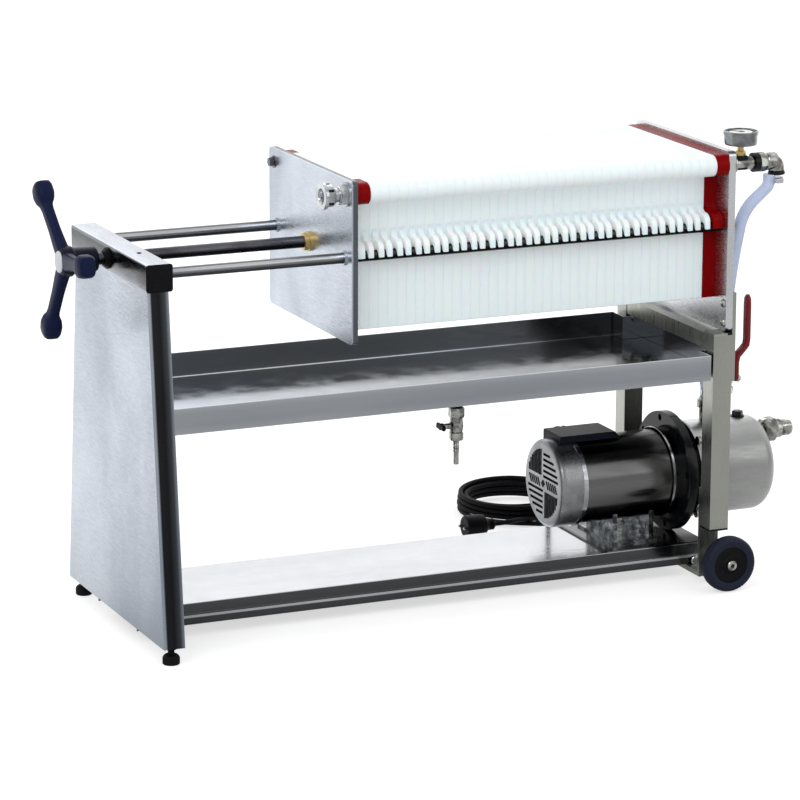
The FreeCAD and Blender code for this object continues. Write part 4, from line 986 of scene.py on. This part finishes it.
class MakeFittings(PressOperator, bpy.types.Operator):
    """Model the head's bleed fitting and collar, the gauge with its elbows, the valve and the drain tap"""
    bl_idname = "press.fittings"
    bl_label = "Fittings"

    def make(self, sizes, colours):
        self.make_head()
        self.make_gauge()
        self.make_valve()
        self.make_drain()

    def make_head(self):
        """The slotted ring nut on the head's eye, and the brass thrust collar."""
        start, at = high("bleed_fitting")[0], mid("bleed_fitting")
        eye = (start, at[1], at[2])
        long = start - low("bleed_fitting")[0]
        parts = [turned([(0, 18), (3, 18), (3.4, 17)], eye, "-x", 40), hex_head(30, 12, eye, "-x", 0.2),
            turned([(11, 13), (15, 13), (15.5, 10.5), (22, 10.5), (22.5, 15), (25, 16.5), (31, 16.5),
            (35, 15.5), (long - 6, 15), (long - 5.5, 20), (long - 1, 20.4), (long, 19.4), (long, 12),
            (long - 4, 10), (long - 9, 9.5)], eye, "-x", 48)]
        make_piece("ring_nut", parts, "bright steel", "pressure_head", ("bleed_fitting",), 30)
        # Black pins sunk in the ring nut's rim: painted shade in its slots.
        steps = np.arange(5) * 2 * math.pi / 5
        parts = []
        for angle in steps:
            middle = np.array([start - 26, at[1] + 16.2 * math.cos(angle), at[2] + 16.2 * math.sin(angle)])
            parts.append(turned([(0, 2.2), (9, 2.2)], middle, "-x", 10))
        make_piece("ring_nut_slot_shade", parts, "black gloss", "pressure_head")
        at = mid("thrust_collar")
        back, front = high("thrust_collar")[0], low("thrust_collar")[0]
        parts = [turned([(0, 15), (4, 15), (4.6, 13.6), (back - front - 1, 13.2), (back - front, 12.2)],
            (back, at[1], at[2]), "-x", 48)]
        make_piece("brass_collar", parts, "brass", "pressure_head", ("thrust_collar",))

    def make_gauge(self):
        """The pressure gauge with its dial, stem and elbow, and the feed elbow on the other side."""
        at, top, bottom = mid("gauge"), high("gauge")[2], low("gauge")[2]
        spot = (at[0], at[1], bottom)
        tall = top - bottom
        case = turned([(0, 22), (1, 24.5), (4, 25.5), (tall - 6, 25.5), (tall - 5.5, 27), (tall - 1, 27),
            (tall, 26), (tall, 24), (tall - 1.6, 23.6), (tall - 2, 0)], spot, "+z", 56)
        make_piece("gauge_case", [case], "gauge steel", "frame", ("gauge",))
        make_piece("gauge_dial", [turned([(0, 23.4), (0.6, 23.4)], (at[0], at[1], top - 2.3), "+z", 48)],
            "dial face", "frame")
        level, marks = top - 1.5, []
        spot = np.array([at[0], at[1], level])
        for number in range(25):
            angle = math.radians(-135 + number * 270 / 24)
            out = np.array([math.cos(angle), math.sin(angle), 0.0])
            inner, wide = (17.5, 0.7) if number % 4 == 0 else (19.5, 0.4)
            path = np.array([spot + out * inner, spot + out * 22])
            marks.append(carried([(-wide, 0), (-wide, 0.2), (wide, 0.2), (wide, 0)], path))
        out = np.array([math.cos(2.2), math.sin(2.2), 0.0])
        needle = np.array([spot - out * 6, spot + out * 4, spot + out * 19])
        marks.append(carried([(-1.2, 0), (-1.2, 0.5), (1.2, 0.5), (1.2, 0)], needle,
            [(1, 1), (1, 1), (0.3, 1)]))
        marks.append(turned([(0, 2.6), (0.9, 2.4)], (at[0], at[1], level), "+z", 20))
        make_piece("gauge_marks", marks, "black plastic", "frame")
        start, end = low("gauge_pipe")[0], high("gauge_pipe")[0]
        axis_y, axis_z = mid("bleed_fitting")[1:]
        elbow_x = end - 25
        eye = (start, axis_y, axis_z)
        parts = [turned([(0, 15), (2.5, 15), (3, 10.5), (34, 10.5)], eye, "+x", 40),
            hex_head(26, 14, (elbow_x - 21, axis_y, axis_z), "+x", 0.3),
            turned([(0, 12), (2, 13.5), (16, 13.5), (19, 12)], (elbow_x - 8, axis_y, axis_z), "+x", 40),
            tube(bend((elbow_x - 6, axis_y, axis_z), (elbow_x + 12.5, axis_y, axis_z),
            (elbow_x + 12.5, axis_y, axis_z - 14), 12), 12, 32)]
        make_piece("gauge_elbow", parts, "nickel", "frame", ("gauge_pipe",))
        parts = [turned([(0, 15), (9, 15), (9.5, 13)], (elbow_x - 30, axis_y, axis_z), "+x", 40),
            bar((at[0] - 9, axis_y - 9, axis_z - 9), (at[0] + 9, axis_y + 9, axis_z + 13), "z", 2, 1)]
        parts.append(turned([(0, 11), (6, 13.4), (8, 13.4), (9, 12)], (elbow_x + 12.5, axis_y, axis_z - 12),
            "-z", 36))
        make_piece("gauge_block", parts, "black gloss", "frame")
        parts = [hex_head(14, 8, (at[0], axis_y, axis_z + 12), "+z", 0.1),
            turned([(7, 5), (bottom - axis_z - 11, 5)], (at[0], axis_y, axis_z + 12), "+z", 24)]
        make_piece("gauge_stem", parts, "brass", "frame")
        start, feed_y = low("inlet_elbow")[0], mid("inlet_elbow")[1]
        feed_x = high("inlet_elbow")[0] - 11.5
        parts = [hex_head(25, 9, (start, feed_y, axis_z), "+x", 0.2),
            tube(bend((start, feed_y, axis_z), (feed_x, feed_y, axis_z), (feed_x, feed_y, axis_z - 19), 14),
            10.5, 32), turned([(0, 11.5), (5, 11.5), (6, 10)], (feed_x, feed_y, axis_z - 12), "-z", 32)]
        make_piece("feed_elbow", parts, "nickel", "frame", ("inlet_elbow",))

    def make_valve(self):
        """The outlet valve on its hose, and the dipped lever that bends past it."""
        bottom, top = low("outlet_valve")[2], high("outlet_valve")[2]
        at = mid("outlet_valve")
        spot = (at[0], at[1], bottom)
        parts = [turned(ringed(0, 26, 9, 1.4, 5) + [(40, 8)], spot, "+z", 32),
            hex_head(26, 11, (at[0], at[1], bottom + 40), "+z", 0.25),
            turned([(50, 10), (53, 12.5), (57, 14), (62, 14.6), (67, 14), (71, 12.5), (74, 10)], spot, "+z",
            40), hex_head(26, 11, (at[0], at[1], bottom + 84), "-z", 0.25),
            turned([(83, 9), (top - bottom, 9)], spot, "+z", 32)]
        make_piece("outlet_ball_valve", parts, "nickel", "frame", ("outlet_valve",))
        pivot = (at[0] + 14, at[1], bottom + 62)
        low_x, high_x = low("valve_lever")[0], high("valve_lever")[0]
        near, far = low_x + 4.5, high_x - 1.5
        base = low("valve_lever")[2]
        level = np.array([3, 5, 9, 20, 34, 44, 52, 60, 70, 90, 125, 134, 138, 139.6])
        share = np.clip((level - 38) / (26), 0, 1)
        path = np.column_stack([near + (far - near) * share * share * (3 - 2 * share),
            np.full(len(level), at[1]), base + level])
        ends = np.array([0.5, 0.8, 1, 1, 1, 1, 1, 1, 1, 1, 1, 0.9, 0.6, 0.25])
        outline = soft_square(15, 9, 4)
        lever = carried(outline, path, np.column_stack([ends, np.maximum(ends, 0.6)]), (1, 0, 0))
        make_piece("dipped_lever", [lever], "lever vinyl", "valve_lever", ("valve_lever",), 60)
        nut = [hex_head(11, 4, (low_x + 7, at[1], pivot[2]), "+x"), turned([(0, 4), (6, 4)],
            (low_x + 7, at[1], pivot[2]), "+x", 20)]
        make_piece("lever_nut", nut, "nickel", "valve_lever")

    def make_drain(self):
        """The drain tap under the tray, with its black stub, barb and cross handle."""
        top, bottom = high("drain_tap")[2], low("drain_tap")[2]
        at_y = mid("drain_tap")[1]
        at_x = high("drain_tap")[0] - 12.15
        spot = (at_x, at_y, top)
        key = mid("drain_handle")
        parts = [hex_head(22, 16, (at_x, at_y, top - 18), "-z", 0.1),
            turned([(32, 9), (36, 10), (46, 11), (54, 10), (57, 8.5)], spot, "-z", 36),
            hex_head(20, 12, (at_x, at_y, top - 57), "-z", 0.2), turned([(67, 4.4)]
            + ringed(70, 88, 5.0, 0.9, 4) + [(top - bottom, 4.2), (top - bottom, 2.6),
            (top - bottom - 6, 2.4)], spot, "-z", 28), turned([(0, 4.5), (at_x - key[0] - 3, 4.5)],
            (at_x, at_y, key[2]), "-x", 24)]
        make_piece("drain_cock", parts, "nickel", "frame", ("drain_tap",))
        make_piece("drain_stub", [turned([(0, 12), (4, 12), (4.5, 9.5), (19, 9.5)], spot, "-z", 36)],
            "black plastic", "frame")
        lowest, highest = low("drain_handle"), high("drain_handle")
        parts = [bar(lowest, highest, "y", 2.6, 1.5), turned([(0, 5.5), (5.5, 5)],
            (highest[0], key[1], key[2]), "-x", 24)]
        make_piece("drain_key", parts, "black plastic", "drain_handle", ("drain_handle",))


class MakeDrive(PressOperator, bpy.types.Operator):
    """Model the fan cover's face, the motor's rings, the pump's plugs, unions and hose clamps"""
    bl_idname = "press.drive"
    bl_label = "Motor and pump"

    def make(self, sizes, colours):
        face = low("fan_cover")
        axis = mid("pump_body")
        centre = np.array([face[0], axis[1], mid("fan_cover")[2]])
        # A black disc just inside the fan cover's face: painted shade behind its slots.
        make_piece("fan_shade_disc", [turned([(3, 62), (4, 62)], centre, "+x", 48)], "black rubber", "frame")
        # Black bars and strips on the cover's face: painted shade where its slots open.
        parts = []
        for side, rise in ((1, 1), (-1, -1)):
            for number in range(9):
                off = side * (8 + number * 5.2)
                long = math.sqrt(max(55 ** 2 - off ** 2, 0)) - 12
                if long > 4:
                    at = centre + np.array([-0.3, off, rise * (12 + long / 2)])
                    reach = np.array([0.5, 1.3, long / 2])
                    parts.append(bar(at - reach, at + reach, "z", 0.4))
        for number in range(-6, 7):
            if abs(number) < 2:
                continue
            at = centre + np.array([-0.3, number * 7.6, 0])
            path = np.array([at + [0, -3.5, -6.5], at + [0, 3.5, 6.5]])
            parts.append(carried(soft_square(2.6, 1, 0.3), path, None, (1, 0, 0)))
        parts.append(turned([(-0.8, 6), (1, 6)], centre, "+x", 4))
        make_piece("fan_slot_shade", parts, "black rubber", "frame")
        seam = high("fan_cover")[0]
        parts = [turned([(-4, 70.4), (-3.4, 71), (3.4, 71), (4, 70.4)], (seam, axis[1], centre[2]), "+x", 72)]
        flange = low("motor_flange")[0]
        parts.append(turned([(0, 70.5), (0.8, 72), (4.2, 72), (5, 70.5)], (flange - 16, axis[1], centre[2]),
            "+x", 72))
        make_piece("motor_rings", parts, "bright steel", "frame")
        bolts = []
        rim = high("motor_flange")[0]
        for number in range(4):
            angle = math.radians(45 + 90 * number)
            at = (rim, axis[1] + 84 * math.cos(angle), centre[2] + 84 * math.sin(angle))
            bolts += [turned([(0, 7), (1.4, 7)], at, "+x", 24), hex_head(11, 6, (at[0] + 1.4, at[1], at[2]),
                "+x")]
        make_piece("flange_bolts", bolts, "nickel", "frame")
        plug = mid("priming_plug")
        base = low("priming_plug")[2]
        make_piece("filler_plug", [turned([(-4, 11), (1.5, 11), (2, 9)], (plug[0], plug[1], base), "+z", 32),
            hex_head(15.5, 7.5, (plug[0], plug[1], base + 1.5), "+z", 0.2)], "black gloss", "frame",
            ("priming_plug",))
        start = low("suction_union")[0]
        level = mid("suction_union")[2]
        spot = (start, axis[1], level)
        parts = [turned([(-6, 13), (8, 13)], spot, "+x", 36), turned([(8, 18), (11, 20), (28, 20),
            (31, 18.5)], spot, "+x", 8, math.pi / 8), turned([(31, 15), (40, 15), (42, 13)], spot, "+x", 36),
            turned([(42, 13)] + ringed(43, 58, 13, 0.8, 6) + [(59, 12), (59, 9.5), (44, 9.5)], spot, "+x",
            36)]
        make_piece("suction_fitting", parts, "nickel", "frame", ("suction_union",))
        parts = []
        neck, neck_top = mid("outlet_neck"), high("outlet_neck")[2]
        valve, valve_top = mid("outlet_valve"), high("outlet_valve")[2]
        gauge_x, gauge_y = high("gauge_pipe")[0] - 12.5, mid("bleed_fitting")[1]
        feed_x, feed_y = high("inlet_elbow")[0] - 11.5, mid("inlet_elbow")[1]
        eye_low = low("gauge_pipe")[2]
        for x, y, z in ((neck[0], neck[1], neck_top + 4), (valve[0], valve[1], valve_top + 4),
                (feed_x, feed_y, eye_low - 14), (gauge_x, gauge_y, eye_low - 14)):
            parts.append(turned([(0, 10), (0.4, 10.6), (8.6, 10.6), (9, 10)], (x, y, z), "+z", 36))
            parts.append(bar((x - 5, y - 15, z + 0.5), (x + 5, y - 9.5, z + 8.5), "x", 1.4, 0.5))
            parts.append(hex_head(6.5, 4, (x - 5, y - 12.2, z + 4.5), "-x"))
        make_piece("hose_clamps", parts, "bright steel", "frame")


class MakeWheels(PressOperator, bpy.types.Operator):
    """Model the rubber wheels with their hub discs and the bright caps of the axle bolts"""
    bl_idname = "press.wheels"
    bl_label = "Wheels"

    def make(self, sizes, colours):
        caps = []
        for side, node, body, way in ((-1, "wheel_near", "near_wheel", "-y"),
                (1, "wheel_far", "far_wheel", "+y")):
            centre = mid(node)
            radius = high(node)[2] - centre[2]
            half = (high(node)[1] - low(node)[1]) / 2
            tread = [(-half, radius - 15), (-half, radius - 6), (-half + 2, radius - 2.4),
                (-half + 6, radius - 0.4), (0, radius), (half - 6, radius - 0.4), (half - 2, radius - 2.4),
                (half, radius - 6), (half, radius - 13), (half - 1, radius - 15), (half - 3.4, radius - 16)]
            make_piece(node + "_tyre", [turned(tread, centre, way, 72)], "tyre rubber", body, (node,),
                28)
            disc = [(half - 6, radius - 14.5), (half - 3, radius - 15), (half - 2.2, radius - 17),
                (half - 2.8, radius - 20), (half - 3, 14), (half - 1.5, 12), (half - 0.4, 11),
                (half - 0.4, 6)]
            make_piece(node + "_disc", [turned(disc, centre, way, 64)], "black plastic", body)
            face = centre[1] + side * half
            caps += [turned([(-30, 6), (-0.5, 6), (-0.3, 8), (3, 8), (4, 7), (4, 4.2)],
                (centre[0], face, centre[2]), way, 36)]
            # A black hex disc on each cap's end: painted shade in its socket.
            socket = (centre[0], face + side * 4.05, centre[2])
            make_piece(node + "_socket", [turned([(-0.6, 3.6), (0.05, 3.6)], socket, way, 6)], "black gloss",
                "frame")
        make_piece("axle_caps", caps, "nickel", "frame", ("axle_bolts",))


class PressPanel(bpy.types.Panel):
    """The press's operators in the 3D view's sidebar"""
    bl_idname = "VIEW3D_PT_press"
    bl_label = "Filter press"
    bl_space_type = "VIEW_3D"
    bl_region_type = "UI"
    bl_category = "Filter press"

    def draw(self, context):
        for settings in (context.scene.press_sizes, context.scene.press_colours):
            for key in settings.__annotations__:
                self.layout.prop(settings, key)
        for operator in OPERATORS:
            self.layout.operator(operator.bl_idname)


OPERATORS = (MakeFinishes, MakeStudio, MakeCord, MakePack, MakeHandwheel, MakeBeam, MakeFasteners,
    MakeFittings, MakeDrive, MakeWheels)
CLASSES = (PressSizes, PressColours, *OPERATORS, PressPanel)


def register():
    """Registers the classes and the scene's settings."""
    for item in CLASSES:
        bpy.utils.register_class(item)
    bpy.types.Scene.press_sizes = PointerProperty(type=PressSizes)
    bpy.types.Scene.press_colours = PointerProperty(type=PressColours)


def unregister():
    """Removes the classes and the scene's settings."""
    del bpy.types.Scene.press_colours
    del bpy.types.Scene.press_sizes
    for item in reversed(CLASSES):
        bpy.utils.unregister_class(item)


def main():
    """Makes the studio and every piece in order."""
    register()
    for operator in OPERATORS:
        area, name = operator.bl_idname.split(".")
        getattr(getattr(bpy.ops, area), name)()


if __name__ == "__main__":
    main()
